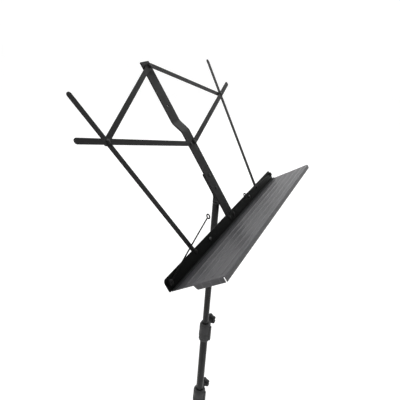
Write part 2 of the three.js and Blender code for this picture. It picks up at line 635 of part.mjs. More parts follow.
function addTripod(stand) {
  const collarHeight = HUB_HEIGHT + 2 * LEG.strutAt * Math.cos(rad(LEG.open));
  addPiece(stand, 'base_hub', hubGeometry(), PLASTIC);
  addPiece(stand, 'leg_collar', collarGeometry(collarHeight), PLASTIC);
  addPiece(stand, 'leg_collar_knob', collarKnob(collarHeight), PLASTIC);
  LEG_AZIMUTHS.forEach((azimuth, index) => {
    const number = index + 1;
    const radial = new THREE.Group();
    radial.rotation.z = rad(azimuth);
    stand.add(radial);

    const legFrame = new THREE.Group();
    legFrame.position.set(LEG.pivotRadius, 0, collarHeight);
    legFrame.rotation.y = -rad(LEG.open);
    radial.add(legFrame);
    addPiece(legFrame, `leg_${number}`, legGeometry(), TUBE_BLACK);
    addPiece(legFrame, `leg_pin_${number}`, crossPin(), ZINC);
    const strutPin = addPiece(legFrame, `strut_pin_${number}`, crossPin(), ZINC);
    strutPin.position.z = -LEG.strutAt;

    const strut = addPiece(radial, `strut_${number}`, strutGeometry(), TUBE_BLACK);
    strut.position.set(
      LEG.pivotRadius + LEG.strutAt * Math.sin(rad(LEG.open)), 0,
      collarHeight - LEG.strutAt * Math.cos(rad(LEG.open)),
    );
    strut.rotation.y = rad(LEG.open);

    addPiece(radial, `foot_${number}`, footGeometry(collarHeight), RUBBER);
    const pin = addPiece(radial, `hub_pin_${number}`, hubPin(), ZINC);
    pin.position.set(LEG.pivotRadius, 0, HUB_HEIGHT);
  });
}

// ---------------------------------------------------------------- the stand
function buildStand() {
  const stand = new THREE.Group();
  const pivot = tiltPivot();
  const desk = buildDesk(pivot);
  desk.position.set(0, -SHELF_OFFSET, SHELF_HEIGHT);
  desk.rotation.x = Math.PI / 2 - rad(DESK_LEAN);
  stand.add(desk);
  addPole(stand, pivot);
  addTripod(stand);
  // The origin is on the floor, under the middle of the stand's box.
  const box = new THREE.Box3().setFromObject(stand);
  stand.position.set(0, -(box.min.y + box.max.y) / 2, -box.min.z);
  return stand;
}

export default buildStand();
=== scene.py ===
"""Music stand: the finished look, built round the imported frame, as a Blender add-on that runs as a script."""
import json
import math

import bmesh
import bpy
from bpy.props import FloatProperty, FloatVectorProperty, IntProperty, PointerProperty
from mathutils import Matrix, Vector


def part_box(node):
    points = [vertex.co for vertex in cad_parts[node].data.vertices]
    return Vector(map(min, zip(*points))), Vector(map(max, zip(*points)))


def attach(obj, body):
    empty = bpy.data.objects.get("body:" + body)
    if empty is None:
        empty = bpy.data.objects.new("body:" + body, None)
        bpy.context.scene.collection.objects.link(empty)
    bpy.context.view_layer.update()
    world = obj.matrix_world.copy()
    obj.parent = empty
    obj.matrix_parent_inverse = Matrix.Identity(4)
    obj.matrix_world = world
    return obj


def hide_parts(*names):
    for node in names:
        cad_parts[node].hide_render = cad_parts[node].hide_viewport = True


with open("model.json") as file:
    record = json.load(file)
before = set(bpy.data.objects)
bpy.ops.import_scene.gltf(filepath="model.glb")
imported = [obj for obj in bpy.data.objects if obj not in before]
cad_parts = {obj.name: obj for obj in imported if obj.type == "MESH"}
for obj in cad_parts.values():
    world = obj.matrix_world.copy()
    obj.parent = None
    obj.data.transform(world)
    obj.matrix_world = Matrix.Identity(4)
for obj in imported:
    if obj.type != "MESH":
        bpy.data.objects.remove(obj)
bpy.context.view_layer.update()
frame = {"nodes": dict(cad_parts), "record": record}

bl_info = {
    "name": "Music Stand",
    "version": (1, 0, 0),
    "blender": (4, 5, 0),
    "location": "3D View > Sidebar > Music Stand",
    "description": "Builds the finished pieces of a tilting, telescopic music stand",
    "category": "Object",
}

MM = 0.001
RECORD = frame["record"]
JOINTS = {joint["name"]: joint for joint in RECORD["behaviour"]["joints"]}
SLOT_OF = {entry["node"]: entry["material_slot"] for entry in RECORD["subparts"]}
BODY_OF = {node: body for body, nodes in RECORD["behaviour"]["bodies"].items() for node in nodes}
SIDES = (("left", -1), ("right", 1))
LEGS = (1, 2, 3)

# ------------------------------------------------------------------ sizes in millimetres
GAP = 0.3                                # left between pieces that touch
SCREW_WAY = 3.3                          # radius of the hole round a hand screw or the tilt bolt
PIN_HOLE = 2.5                           # radius of the hole round a pin

# on the desk: across, up from the shelf's top, and out from the ledge's face
SHELF_MOUNT_DEPTH = 64
SHELF_HALF = 250
SHELF_DEPTH = 98
SHELF_LIP = 9
SHEET = 1.2
SIDE_LIP_START = 42.0
SIDE_LIP_END = 95.7
SIDE_LIP_RISE = 4.4                      # length of the rounded start of a side lip
RIB_FIRST = 24
RIB_HALF = 3.0
LEDGE = {"half": 256, "height": 21.5, "thickness": 1.5, "flange": 8, "corner": 6.5, "foot_corner": 2.5}
LATTICE_LEAN = 0.5                       # degrees that the bars lean forward about the ledge's top edge
LEDGE_PIN = (155, 16)
CORNER_PIN = (211, 240)
BRACE_PIN = (8.3, 176)
CROWN_PIN = (0, 341)
FOOT_PIN = (10, 12)
SHELF_SCREW = (102, 12)
SIDE_BAR_REACH = 320
BRACE_BAR_REACH = 275
LAYER = {"brace": 0, "side": -1.8, "main": -1.8, "top_right": -3.6, "top_left": -5.4}
MAIN_BAR = {"low": 3, "top": 352, "half": 14, "thickness": 2.5,
            "step": 9.4, "step_low": 203, "step_high": 226}
MAIN_HOLE = {"up": 260, "radius": 2}
BRACKET = {"low": 66, "high": 113, "half": 6, "depth": 8.3, "sheet": 1.5, "ear": 1.6, "eye": 5.6}
BRACKET_RIVETS = (76, 104)
WIRE_PIVOT = (247, 12.6)
WIRE_FRONT = 2.8
WIRE_EYE = 3.8
WIRE_LOOP = 4.2
PAGE_WIRES = {"left": (-1, 173, 11.2), "right": (1, 165, 3.5)}    # side, length, and rise in degrees

# on the pole
HEAD = {"plug": 16, "shoulder": 3, "half": 4.1, "tongue": 6.5}
HEAD_FACE = 6.3                          # where the bolt's head and the wing nut bear on the ears
BOLT = {"radius": 3, "thread": 15, "end": 20}
TUBE_WALLS = {"upper_tube": 1.0, "middle_tube": 1.2, "lower_tube": 1.5}
CLAMPS = {"upper": ("middle_tube", "upper_tube"), "lower": ("lower_tube", "middle_tube")}
CLAMP = {"below": 34, "above": 18, "wall": 4}

# on the tripod: heights are above the floor, and radii from the pole's axis
LEG = {"radius": 26, "length": 340, "overrun": 6, "strut_at": 150, "inner": -5.5, "outer": 6.5, "half": 6,
       "sheet": 1.5}
STRUT = {"near": 1.8, "far": 4.2, "width": 9}
LUG = {"half": 1.5, "width": 9}
HUB = {"bore": 11.5, "outer": 15, "height": 34, "floor": 6}
COLLAR = {"bore": 11.5, "outer": 15.5, "below": 14, "above": 18}
BOOT = {"half": 9, "socket": 60, "groove": 0.9, "groove_pitch": 4.6}

# ------------------------------------------------------------------ stage, in metres and degrees
CAMERA_FROM_SHELF = (-0.6792, -0.2307, 0.4002)
CAMERA = {"azimuth": 65.51, "elevation": 26.7, "roll": 3.93, "lens": 36.79}
FLOOR_DROP = -0.0005
FLOOR = {"reach": 6.0, "bend": 2.2, "wall": 4.0}


# ------------------------------------------------------------------ frames of the stand
def desk_frame():
    """The desk's own frame: X across, Y up it, Z out towards the musician, zero at the shelf's back edge."""
    mount = next(m for m in RECORD["mounts"] if m["name"] == "shelf_top")
    up = Vector(mount["axis"]).normalized()
    across = Vector((1, 0, 0))
    out = across.cross(up)
    back_edge = Vector(mount["pos_m"]) - out * SHELF_MOUNT_DEPTH * MM
    turn = Matrix((across, up, out)).transposed()
    return Matrix.Translation(back_edge) @ turn.to_4x4()


def lattice_frame():
    """The frame of the bars: the desk's own, leaning a little forward about the ledge's top edge."""
    height = LEDGE["height"] * MM
    lean = Matrix.Rotation(math.radians(LATTICE_LEAN), 4, "X")
    return DESK @ Matrix.Translation((0, height, 0)) @ lean @ Matrix.Translation((0, -height, 0))


def pole_frame():
    """The pole's frame: Z up its axis from the floor."""
    low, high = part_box("upper_tube")
    return Matrix.Translation(Vector(((low[0] + high[0]) / 2, (low[1] + high[1]) / 2, 0)))


DESK = desk_frame()
LATTICE = lattice_frame()
POLE = pole_frame()


# ------------------------------------------------------------------ settings
class MusicStandSizes(bpy.types.PropertyGroup):
    """Sizes that a user would change, in millimetres where no unit is shown."""
    bar_width: FloatProperty(
        name="Bar width", description="Width of the flat bars", default=10.0, min=4, max=20)
    bar_thickness: FloatProperty(
        name="Bar thickness", description="Thickness of the flat bars", default=1.5, min=0.5)
    edge_round: FloatProperty(
        name="Edge round", description="Rounding of sheet metal edges", default=0.35, min=0.05)
    rib_pitch: FloatProperty(
        name="Rib pitch", description="Distance between the shelf's ribs", default=16.0, min=6)
    rib_height: FloatProperty(
        name="Rib height", description="Height of the shelf's ribs", default=0.9, min=0.1, max=2)
    rib_count: IntProperty(
        name="Ribs", description="Number of ribs pressed in the shelf", default=5, min=0, max=6)
    wire_radius: FloatProperty(
        name="Wire radius", description="Radius of the page wires", default=1.25, min=0.5, max=2)
    knob_lobes: IntProperty(
        name="Knob lobes", description="Grip lobes on each hand knob", default=6, min=3, max=12)


class MusicStandColours(bpy.types.PropertyGroup):
    """Base colours of the finishes."""
    bar: FloatVectorProperty(name="Bars", description="Powder coat of the bars", subtype="COLOR", size=3,
                             default=(0.0098, 0.0095, 0.0096), min=0, max=1)
    ledge: FloatVectorProperty(name="Ledge", description="Paint of the ledge", subtype="COLOR", size=3,
                               default=(0.003, 0.0034, 0.0032), min=0, max=1)
    shelf: FloatVectorProperty(name="Shelf", description="Paint of the shelf", subtype="COLOR", size=3,
                               default=(0.043, 0.0424, 0.0462), min=0, max=1)
    tube: FloatVectorProperty(name="Tubes", description="Paint of the pole and legs", subtype="COLOR", size=3,
                              default=(0.0095, 0.0095, 0.0097), min=0, max=1)


def sizes():
    return bpy.context.scene.music_stand_sizes


def colours():
    return bpy.context.scene.music_stand_colours


# ------------------------------------------------------------------ shader expressions
class Signal:
    """A shader socket that takes part in Python arithmetic by adding Math nodes."""

    def __init__(self, tree, socket):
        self.tree = tree
        self.socket = socket

    def math(self, operation, other=None, flipped=False):
        node = self.tree.nodes.new("ShaderNodeMath")
        node.operation = operation
        first, second = (1, 0) if flipped else (0, 1)
        self.tree.links.new(self.socket, node.inputs[first])
        if isinstance(other, Signal):
            self.tree.links.new(other.socket, node.inputs[second])
        elif other is not None:
            node.inputs[second].default_value = other
        return Signal(self.tree, node.outputs[0])

    def __add__(self, other):
        return self.math("ADD", other)

    def __sub__(self, other):
        return self.math("SUBTRACT", other)

    def __rsub__(self, other):
        return self.math("SUBTRACT", other, flipped=True)

    def __mul__(self, other):
        return self.math("MULTIPLY", other)

    __radd__ = __add__
    __rmul__ = __mul__

    def held(self):
        """The value kept between 0 and 1."""
        return self.math("MAXIMUM", 0.0).math("MINIMUM", 1.0)

    def step(self, low, high):
        """0 below low, 1 above high, and a straight ramp between them."""
        return ((self - low) * (1.0 / (high - low))).held()


class Finish:
    """A material being written: one Principled shader, and whatever feeds it."""

    def __init__(self, name, metallic=0.0, specular=0.5):
        self.material = bpy.data.materials.new(name)
        self.material.use_nodes = True
        self.tree = self.material.node_tree
        self.tree.nodes.clear()
        self.shader = self.node("ShaderNodeBsdfPrincipled", {}, {
            "Metallic": metallic, "Specular IOR Level": specular})
        output = self.node("ShaderNodeOutputMaterial")
        self.tree.links.new(self.shader.outputs[0], output.inputs["Surface"])
        self.coordinates = self.signal(self.node("ShaderNodeTexCoord"), "Object")

    def node(self, kind, settings=None, sockets=None):
        made = self.tree.nodes.new(kind)
        for key, value in (settings or {}).items():
            setattr(made, key, value)
        for key, value in (sockets or {}).items():
            if isinstance(value, Signal):
                self.tree.links.new(value.socket, made.inputs[key])
            else:
                made.inputs[key].default_value = value
        return made

    def signal(self, node, output=0):
        return Signal(self.tree, node.outputs[output])

    def placed(self, matrix, stretch=(1, 1, 1)):
        """Object coordinates in the given frame, in metres, then stretched for a directional pattern."""
        local = self.node("ShaderNodeMapping", {"vector_type": "TEXTURE"}, {
            "Vector": self.coordinates,
            "Location": matrix.translation,
            "Rotation": matrix.to_euler(),
        })
        drawn = self.node("ShaderNodeVectorMath", {"operation": "MULTIPLY"}, {
            0: self.signal(local), 1: stretch})
        return self.signal(drawn)

    def parts(self, vector):
        split = self.node("ShaderNodeSeparateXYZ", {}, {0: vector})
        return [self.signal(split, axis) for axis in range(3)]

    def noise(self, scale, detail=3.0, roughness=0.55, vector=None):
        texture = self.node("ShaderNodeTexNoise", {}, {
            "Vector": vector or self.coordinates, "Scale": scale, "Detail": detail, "Roughness": roughness})
        return self.signal(texture, 0)

    def cells(self, scale):
        texture = self.node("ShaderNodeTexVoronoi", {}, {"Vector": self.coordinates, "Scale": scale})
        return self.signal(texture, 0)

    def edges(self, radius):
        """Near 1 along outside corners, where paint rubs thin."""
        soft = self.node("ShaderNodeBevel", {"samples": 4}, {"Radius": radius})
        true = self.node("ShaderNodeNewGeometry")
        alike = self.node("ShaderNodeVectorMath", {"operation": "DOT_PRODUCT"},
                          {0: self.signal(soft), 1: self.signal(true, "Normal")})
        return (1.0 - self.signal(alike, "Value")).step(0.02, 0.22)

    def mixed(self, factor, first, second):
        """A colour between two colours, each a tuple or a signal."""
        node = self.node("ShaderNodeMix", {"data_type": "RGBA"})
        for socket, value in ((node.inputs[0], factor), (node.inputs[6], first), (node.inputs[7], second)):
            if isinstance(value, Signal):
                self.tree.links.new(value.socket, socket)
            elif isinstance(value, float):
                socket.default_value = value
            else:
                socket.default_value = (*value[:3], 1.0)
        return Signal(self.tree, node.outputs[2])

    def paint(self, colour, roughness, height, strength, distance, metallic=None):
        """Joins the surface's values to the shader, and returns the finished material."""
        wanted = {"Base Color": colour, "Roughness": roughness, "Metallic": metallic}
        for key, value in wanted.items():
            if isinstance(value, Signal):
                self.tree.links.new(value.socket, self.shader.inputs[key])
            elif value is not None:
                self.shader.inputs[key].default_value = value
        bump = self.node("ShaderNodeBump", {}, {"Height": height, "Strength": strength, "Distance": distance})
        self.tree.links.new(bump.outputs[0], self.shader.inputs["Normal"])
        return self.material


def scaled(colour, factor):
    return tuple(min(1.0, channel * factor) for channel in colour[:3])


def powder_coat(name, colour, roughness, specular=0.45, peel=0.25, wear=0.5):
    """Sprayed and baked paint: fine orange peel, faint mottling, thin worn edges and a few rubbed patches."""
    finish = Finish(name, specular=specular)
    peel_height = finish.noise(1500, 2.0) + finish.noise(5200, 1.0) * 0.35
    mottle = finish.noise(38, 4.0, 0.6)
    grime = finish.noise(11, 3.0, 0.65).step(0.45, 0.75)
    worn = (finish.edges(0.0005) * finish.noise(160, 3.0).step(0.42, 0.62) * wear).held()
    base = finish.mixed(mottle, scaled(colour, 0.78), scaled(colour, 1.22))
    with_dust_and_painted_sheen = finish.mixed(grime * 0.35, base, scaled(colour, 1.7))
    bare = finish.mixed(worn, with_dust_and_painted_sheen, (0.07, 0.068, 0.065))
    rough = (mottle - 0.5) * 0.16 + roughness + grime * 0.06 - worn * 0.1
    return finish.paint(bare, rough, peel_height, peel, 0.00012, metallic=worn * 0.6)


def ledge_paint(name, colour):
    """Black paint, worn thin along the edges, with a painted sheen on the floor flange that grows lighter away
    from the crease.
    """
    finish = Finish(name, specular=0.08)
    out = finish.parts(finish.placed(DESK))[2]
    mottle = finish.noise(38, 4.0, 0.6)
    # painted sheen: the floor flange is painted lighter the further it lies from the crease, standing in for its
    # reflection, and is left dark along the crease
    dust_and_painted_sheen = (out.step(0.0004, 0.009) * (mottle * 0.5 + 0.7)).held()
    worn = (finish.edges(0.0005) * finish.noise(160, 3.0).step(0.42, 0.62) * 0.3).held()
    base = finish.mixed(mottle, scaled(colour, 0.78), scaled(colour, 1.22))
    # the colour of the flange's painted sheen
    with_dust_and_painted_sheen = finish.mixed(dust_and_painted_sheen, base, (0.030, 0.032, 0.0325))
    bare = finish.mixed(worn, with_dust_and_painted_sheen, (0.05, 0.049, 0.048))
    peel = finish.noise(1500, 2.0) + finish.noise(5200, 1.0) * 0.35
    rough = (mottle - 0.5) * 0.14 + 0.42 + dust_and_painted_sheen * 0.2
    return finish.paint(bare, rough, peel, 0.14, 0.00012, metallic=worn * 0.4)


def shelf_paint(name, colour):
    """Satin grey-black on ribbed sheet: rib tops painted lighter, fine scuffs both ways, painted shadow by the
    ledge and painted shade on the turned-down lips.
    """
    size = sizes()
    finish = Finish(name, specular=0.5)
    local = finish.placed(DESK)
    _, up, out = finish.parts(local)
    phase = (out - RIB_FIRST * MM) * (2 * math.pi / (size.rib_pitch * MM))
    crest = phase.math("COSINE").step(0.9, 1.0)
    along = finish.noise(1.0, 3.0, 0.6, finish.placed(DESK, (26, 300, 900)))
    cross = finish.noise(1.0, 3.0, 0.6, finish.placed(DESK, (700, 300, 40)))
    scuffs = (along.step(0.60, 0.74) + cross.step(0.66, 0.78) * 0.6).held()
    mottle = finish.noise(24, 5.0, 0.62)
    blotch = finish.noise(7, 3.0, 0.6).step(0.35, 0.75)
    specks = 1.0 - finish.cells(420).step(0.04, 0.12)
    # painted shadow and dark reflection of the ledge: a band of the sheet next to the ledge is painted darker
    near_ledge = 1.0 - out.step(0.004, 0.03)
    worn = (finish.edges(0.0006) * finish.noise(140, 3.0).step(0.4, 0.6)).held()
    base = finish.mixed(mottle, scaled(colour, 0.82), scaled(colour, 1.2))
    patchy = finish.mixed(blotch * 0.4, base, scaled(colour, 1.35))
    shaded = finish.mixed(near_ledge * 0.4, patchy, scaled(colour, 0.42))
    # painted shade: the turned-down lips, below the sheet's plane, are painted darker
    shaded_lips = finish.mixed((1.0 - up.step(-0.0034, -0.0012)) * 0.5, shaded, scaled(colour, 0.25))
    # the rib tops are painted lighter, and the scuffs too
    rubbed = finish.mixed((crest * 0.38 + scuffs * 0.22).held(), shaded_lips, scaled(colour, 2.3))
    dusted = finish.mixed(specks * 0.35, rubbed, (0.2, 0.2, 0.2))
    bare = finish.mixed(worn * 0.6, dusted, (0.2, 0.195, 0.19))
    rough = (mottle - 0.5) * 0.14 + 0.43 + scuffs * 0.1 - crest * 0.07 + near_ledge * 0.1
    peel = finish.noise(1300, 2.0) + scuffs * 0.3
    return finish.paint(bare, rough, peel, 0.16, 0.00012, metallic=worn * 0.5)


def tube_paint(name, colour):
    """Smooth semi-gloss paint with fine lengthwise slide marks and rubbed rings."""
    finish = Finish(name, specular=0.16)
    lengthwise = finish.noise(1.0, 3.0, 0.6, finish.placed(POLE, (1400, 1400, 9)))
    rings = finish.noise(1.0, 2.0, 0.5, finish.placed(POLE, (30, 30, 900)))
    marks = (lengthwise.step(0.58, 0.72) + rings.step(0.62, 0.75) * 0.5).held()
    mottle = finish.noise(30, 4.0, 0.6)
    worn = (finish.edges(0.0005) * 0.7).held()
    base = finish.mixed(mottle, scaled(colour, 0.85), scaled(colour, 1.2))
    rubbed = finish.mixed(marks * 0.3, base, scaled(colour, 2.4))
    bare = finish.mixed(worn, rubbed, (0.2, 0.195, 0.19))
    rough = (mottle - 0.5) * 0.1 + 0.3 + marks * 0.12
    return finish.paint(bare, rough, finish.noise(900, 2.0), 0.12, 0.0001, metallic=worn * 0.8)


def zinc_plate(name):
    """Bright zinc with a fine turned grain and slight dulling."""
    finish = Finish(name, metallic=1.0)
    grain = finish.noise(1.0, 2.0, 0.5, finish.placed(POLE, (900, 900, 5200)))
    dull = finish.noise(260, 4.0, 0.6)
    colour = finish.mixed(dull, (0.05, 0.051, 0.053), (0.15, 0.15, 0.148))
    return finish.paint(colour, 0.24 + dull * 0.22, grain, 0.12, 0.0001)


def black_steel(name):
    """Blackened rivet steel, its black rubbed through on the crown."""
    finish = Finish(name, metallic=0.55, specular=0.1)
    rubbed = finish.noise(420, 4.0, 0.65).step(0.48, 0.7)
    colour = finish.mixed(rubbed, (0.012, 0.012, 0.0125), (0.045, 0.044, 0.043))
    return finish.paint(colour, 0.42 - rubbed * 0.12, finish.noise(1900, 2.0), 0.2, 0.0001)


def moulded_nylon(name):
    """Black glass-filled nylon with a spark-eroded mould texture."""
    finish = Finish(name, specular=0.4)
    pits = finish.cells(1500) + finish.noise(3200, 2.0) * 0.5
    tone = finish.noise(60, 4.0, 0.6)
    worn = finish.edges(0.0007)
    colour = finish.mixed(tone, (0.010, 0.010, 0.0105), (0.019, 0.019, 0.020))
    rubbed = finish.mixed(worn * 0.5, colour, (0.045, 0.045, 0.047))
    return finish.paint(rubbed, 0.56 + (tone - 0.5) * 0.2 - worn * 0.12, pits, 0.3, 0.00015)


def moulded_rubber(name):
    """Matt black rubber, greyed by dust near the floor."""
    finish = Finish(name, specular=0.25)
    height = finish.parts(finish.coordinates)[2]
    low = 1.0 - height.step(0.002, 0.02)
    dust_and_painted_sheen = (finish.noise(180, 5.0, 0.7).step(0.4, 0.7) * (low * 0.7 + 0.3)).held()
    colour = finish.mixed(dust_and_painted_sheen * 0.6, (0.010, 0.010, 0.010), (0.075, 0.072, 0.068))
    return finish.paint(colour, 0.8 + dust_and_painted_sheen * 0.15, finish.noise(1100, 4.0), 0.35, 0.0002)


def studio_floor(name):
    finish = Finish(name, specular=0.2)
    tone = finish.noise(3.0, 3.0)
    colour = finish.mixed(tone, (0.76, 0.76, 0.76), (0.79, 0.79, 0.79))
    finish.shader.inputs["Emission Color"].default_value = (1, 1, 1, 1)
    finish.shader.inputs["Emission Strength"].default_value = 0.38
    return finish.paint(colour, 0.9, finish.noise(300, 3.0), 0.03, 0.0002)


FINISHES = {}


def finish_of(slot):
    """The material of a slot in the record, made once."""
    if slot not in FINISHES:
        makers = {
            "satin_black_bar": lambda: powder_coat(slot, colours().bar, 0.46, specular=0.1),
            "gloss_black_ledge": lambda: ledge_paint(slot, colours().ledge),
            "grey_black_shelf": lambda: shelf_paint(slot, colours().shelf),
            "black_wire": lambda: powder_coat(
                slot, scaled(colours().bar, 0.5), 0.4, specular=0.05, peel=0.1, wear=0.0),
            "black_tube": lambda: tube_paint(slot, colours().tube),
            "zinc_fastener": lambda: zinc_plate(slot),
            "dark_rivet": lambda: black_steel(slot),
            "black_plastic": lambda: moulded_nylon(slot),
            "black_rubber": lambda: moulded_rubber(slot),
        }
        FINISHES[slot] = makers[slot]()
    return FINISHES[slot]


# ------------------------------------------------------------------ mesh tools
def prism(outline, low, high):
    """A flat solid between two heights, from an outline listed counter-clockwise."""
    mesh = bmesh.new()
    bottom = [mesh.verts.new((x, y, low)) for x, y in outline]
    top = [mesh.verts.new((x, y, high)) for x, y in outline]
    mesh.faces.new(list(reversed(bottom)))
    mesh.faces.new(top)
    for i, vertex in enumerate(bottom):
        j = (i + 1) % len(bottom)
        mesh.faces.new((vertex, bottom[j], top[j], top[i]))
    return mesh


def turned(profile, sides=72):
    """A solid of revolution about Z, from (radius, height) points. A closed profile repeats its first."""
    mesh = bmesh.new()
    closed = profile[0] == profile[-1]
    points = profile[:-1] if closed else profile
    rings = []
    for radius, height in points:
        if radius < 1e-6:
            rings.append([mesh.verts.new((0, 0, height))])
            continue
        angles = [2 * math.pi * i / sides for i in range(sides)]
        rings.append([mesh.verts.new((radius * math.cos(a), radius * math.sin(a), height)) for a in angles])
    pairs = list(zip(rings, rings[1:])) + ([(rings[-1], rings[0])] if closed else [])
    for lower, upper in pairs:
        for i in range(sides):
            j = (i + 1) % sides
            corners = [lower[i % len(lower)], lower[j % len(lower)],
                       upper[j % len(upper)], upper[i % len(upper)]]
            unique = list(dict.fromkeys(corners))
            if len(unique) > 2:
                mesh.faces.new(unique)
    return mesh


def eased(profile, radius, steps=3):
    """The profile with its corners rounded, ends left alone."""
    closed = profile[0] == profile[-1]
    count = len(profile) - 1 if closed else len(profile)
    out = []
    for i in range(count):
        here = Vector(profile[i])
        if not closed and i in (0, count - 1):
            out.append(tuple(here))
            continue
        before = Vector(profile[(i - 1) % count]) - here
        after = Vector(profile[(i + 1) % count]) - here
        reach = min(radius, before.length * 0.45, after.length * 0.45)
        start = here + before.normalized() * reach
        end = here + after.normalized() * reach
        for k in range(steps + 1):
            t = k / steps
            out.append(tuple(start * (1 - t) ** 2 + here * 2 * t * (1 - t) + end * t ** 2))
    return out + [out[0]] if closed else out


def rounded(outline, radii, steps=5):
    """An outline whose corners are rounded by the radius given for each."""
    out = []
    count = len(outline)
    for i, radius in enumerate(radii):
        here = Vector(outline[i])
        if radius <= 0:
            out.append(tuple(here))
            continue
        before = (Vector(outline[i - 1]) - here).normalized() * radius
        after = (Vector(outline[(i + 1) % count]) - here).normalized() * radius
        for k in range(steps + 1):
            t = k / steps
            blend = (here + before) * (1 - t) ** 2 + here * 2 * t * (1 - t) + (here + after) * t ** 2
            out.append(tuple(blend))
    return out


def round_bar(start, end, width, arc=14):
    """Outline of a flat bar with half-round ends, along X."""
    half = width / 2
    points = []
    for centre, first in ((end - half, -math.pi / 2), (start + half, math.pi / 2)):
        for i in range(arc + 1):
            angle = first + math.pi * i / arc
            points.append((centre + half * math.cos(angle), half * math.sin(angle)))
    return points


def merged(*meshes):
    """Several meshes in one, left as separate closed shells."""
    whole = bmesh.new()
    for part in meshes:
        data = bpy.data.meshes.new("part")
        part.to_mesh(data)
        part.free()
        whole.from_mesh(data)
        bpy.data.meshes.remove(data)
    return whole


def moved(mesh, matrix):
    mesh.transform(matrix)
    return mesh


def turn(axis, degrees):
    return Matrix.Rotation(math.radians(degrees), 4, axis)


def shift(x=0.0, y=0.0, z=0.0):
    return Matrix.Translation((x, y, z))


def as_object(name, mesh):
    """The mesh as an object in the scene."""
    data = bpy.data.meshes.new(name)
    mesh.to_mesh(data)
    mesh.free()
    made = bpy.data.objects.new(name, data)
    bpy.context.scene.collection.objects.link(made)
    return made


def settled(made, body, replaced):
    """The piece with its body and the CAD nodes that it stands for."""
    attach(made, body)
    if replaced:
        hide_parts(*replaced)
    return made


def piece(name, mesh, place, body, replaced=(), slot=None, edge=None, sharp=38):
    """Puts a millimetre mesh in its place in the stand, with its finish, its body and its CAD nodes."""
    mesh.transform(place @ Matrix.Scale(MM, 4))
    bmesh.ops.recalc_face_normals(mesh, faces=mesh.faces)
    made = as_object(name, mesh)
    data = made.data
    data.shade_smooth()
    slot = slot or SLOT_OF[replaced[0]]
    data.materials.append(finish_of(slot))
    if edge:
        bevel = made.modifiers.new("edge", "BEVEL")
        bevel.width = edge * MM
        bevel.segments = 3
        bevel.limit_method = "ANGLE"
        bevel.angle_limit = math.radians(sharp)
        weighted = made.modifiers.new("shading", "WEIGHTED_NORMAL")
        weighted.weight = 80
    else:
        data.set_sharp_from_angle(angle=math.radians(sharp))
    return settled(made, body, replaced)


# ------------------------------------------------------------------ desk
def spaced(start, end, step):
    count = max(1, math.ceil(abs(end - start) / step))
    return [start + (end - start) * i / count for i in range(count + 1)]


def smooth(value, low, high):
    t = min(1.0, max(0.0, (value - low) / (high - low)))
    return t * t * (3 - 2 * t)


def rib_rise(x, out):
    """Height of the pressed ribs: round across, and running out before the shelf's ends."""
    size = sizes()
    rise = 0.0
    for i in range(size.rib_count):
        away = abs(out - (RIB_FIRST + i * size.rib_pitch))
        if away < RIB_HALF:
            rise = 0.5 + 0.5 * math.cos(math.pi * away / RIB_HALF)
    return rise * size.rib_height * smooth(SHELF_HALF - abs(x), 7, 13)


def shelf_sections():
    """(out, drop) pairs from the back edge, over the sheet and down the front lip."""
    size = sizes()
    flat_end = SHELF_DEPTH - 1.6
    flat = [-1.5, 0.0, 6.0, 14.0]
    for i in range(size.rib_count):
        middle = RIB_FIRST + i * size.rib_pitch
        flat += spaced(middle - RIB_HALF, middle + RIB_HALF, 0.75)
    flat += [SIDE_LIP_START + d for d in (0.0, 0.5, 1.2, 2.2, 3.2, SIDE_LIP_RISE)] + [SIDE_LIP_END, flat_end]
    flat = sorted({round(value, 4) for value in flat})
    points = [(out, 0.0) for out in flat]
    for i in range(1, 6):
        angle = math.pi / 2 * i / 5
        points.append((flat_end + 1.6 * math.sin(angle), 1.6 * (1 - math.cos(angle))))
    points += [(SHELF_DEPTH, 5.0), (SHELF_DEPTH, SHELF_LIP)]
    return points


def side_drop(out):
    """How far the side edge is turned down at a distance out: a rounded start, then the full lip."""
    along = min(1.0, max(0.0, (out - SIDE_LIP_START) / SIDE_LIP_RISE))
    return SHELF_LIP * math.sqrt(max(0.0, 1 - (1 - along) ** 2))


def shelf_mesh():
    """The top face of the shelf as one bent sheet. Solidify gives it its thickness."""
    mesh = bmesh.new()
    bend = 1.6
    edge = SHELF_HALF - bend
    ends = spaced(edge - 14, edge, 1.4) + spaced(-edge, -edge + 14, 1.4)
    columns = sorted(set(spaced(-edge, edge, 12) + ends))
    sections = shelf_sections()
    grid = []
    for x in columns:
        grid.append([mesh.verts.new((x, rib_rise(x, out) - drop, out)) for out, drop in sections])
    for left, right in zip(grid, grid[1:]):
        for i in range(len(sections) - 1):
            mesh.faces.new((left[i], left[i + 1], right[i + 1], right[i]))
    for side, border in ((-1, grid[0]), (1, grid[-1])):
        rows = [(i, out) for i, (out, drop) in enumerate(sections) if drop == 0 and out <= SIDE_LIP_END]
        lines = []
        for index, out in rows:
            line = [border[index]]
            depth = side_drop(out)
            for k in range(1, 6):
                angle = math.pi / 2 * k / 5
                sink = min(depth, bend * (1 - math.cos(angle)))
                line.append(mesh.verts.new((side * (edge + bend * math.sin(angle)), -sink, out)))
            for share in (0.5, 1.0):
                drop = bend + (depth - bend) * share if depth > bend else depth
                line.append(mesh.verts.new((side * SHELF_HALF, -drop, out)))
            lines.append(line)
        for a, b in zip(lines, lines[1:]):
            for k in range(len(a) - 1):
                mesh.faces.new((a[k], b[k], b[k + 1], a[k + 1]))
    bmesh.ops.remove_doubles(mesh, verts=mesh.verts, dist=0.002)
    bmesh.ops.dissolve_degenerate(mesh, edges=mesh.edges, dist=0.002)
    return mesh


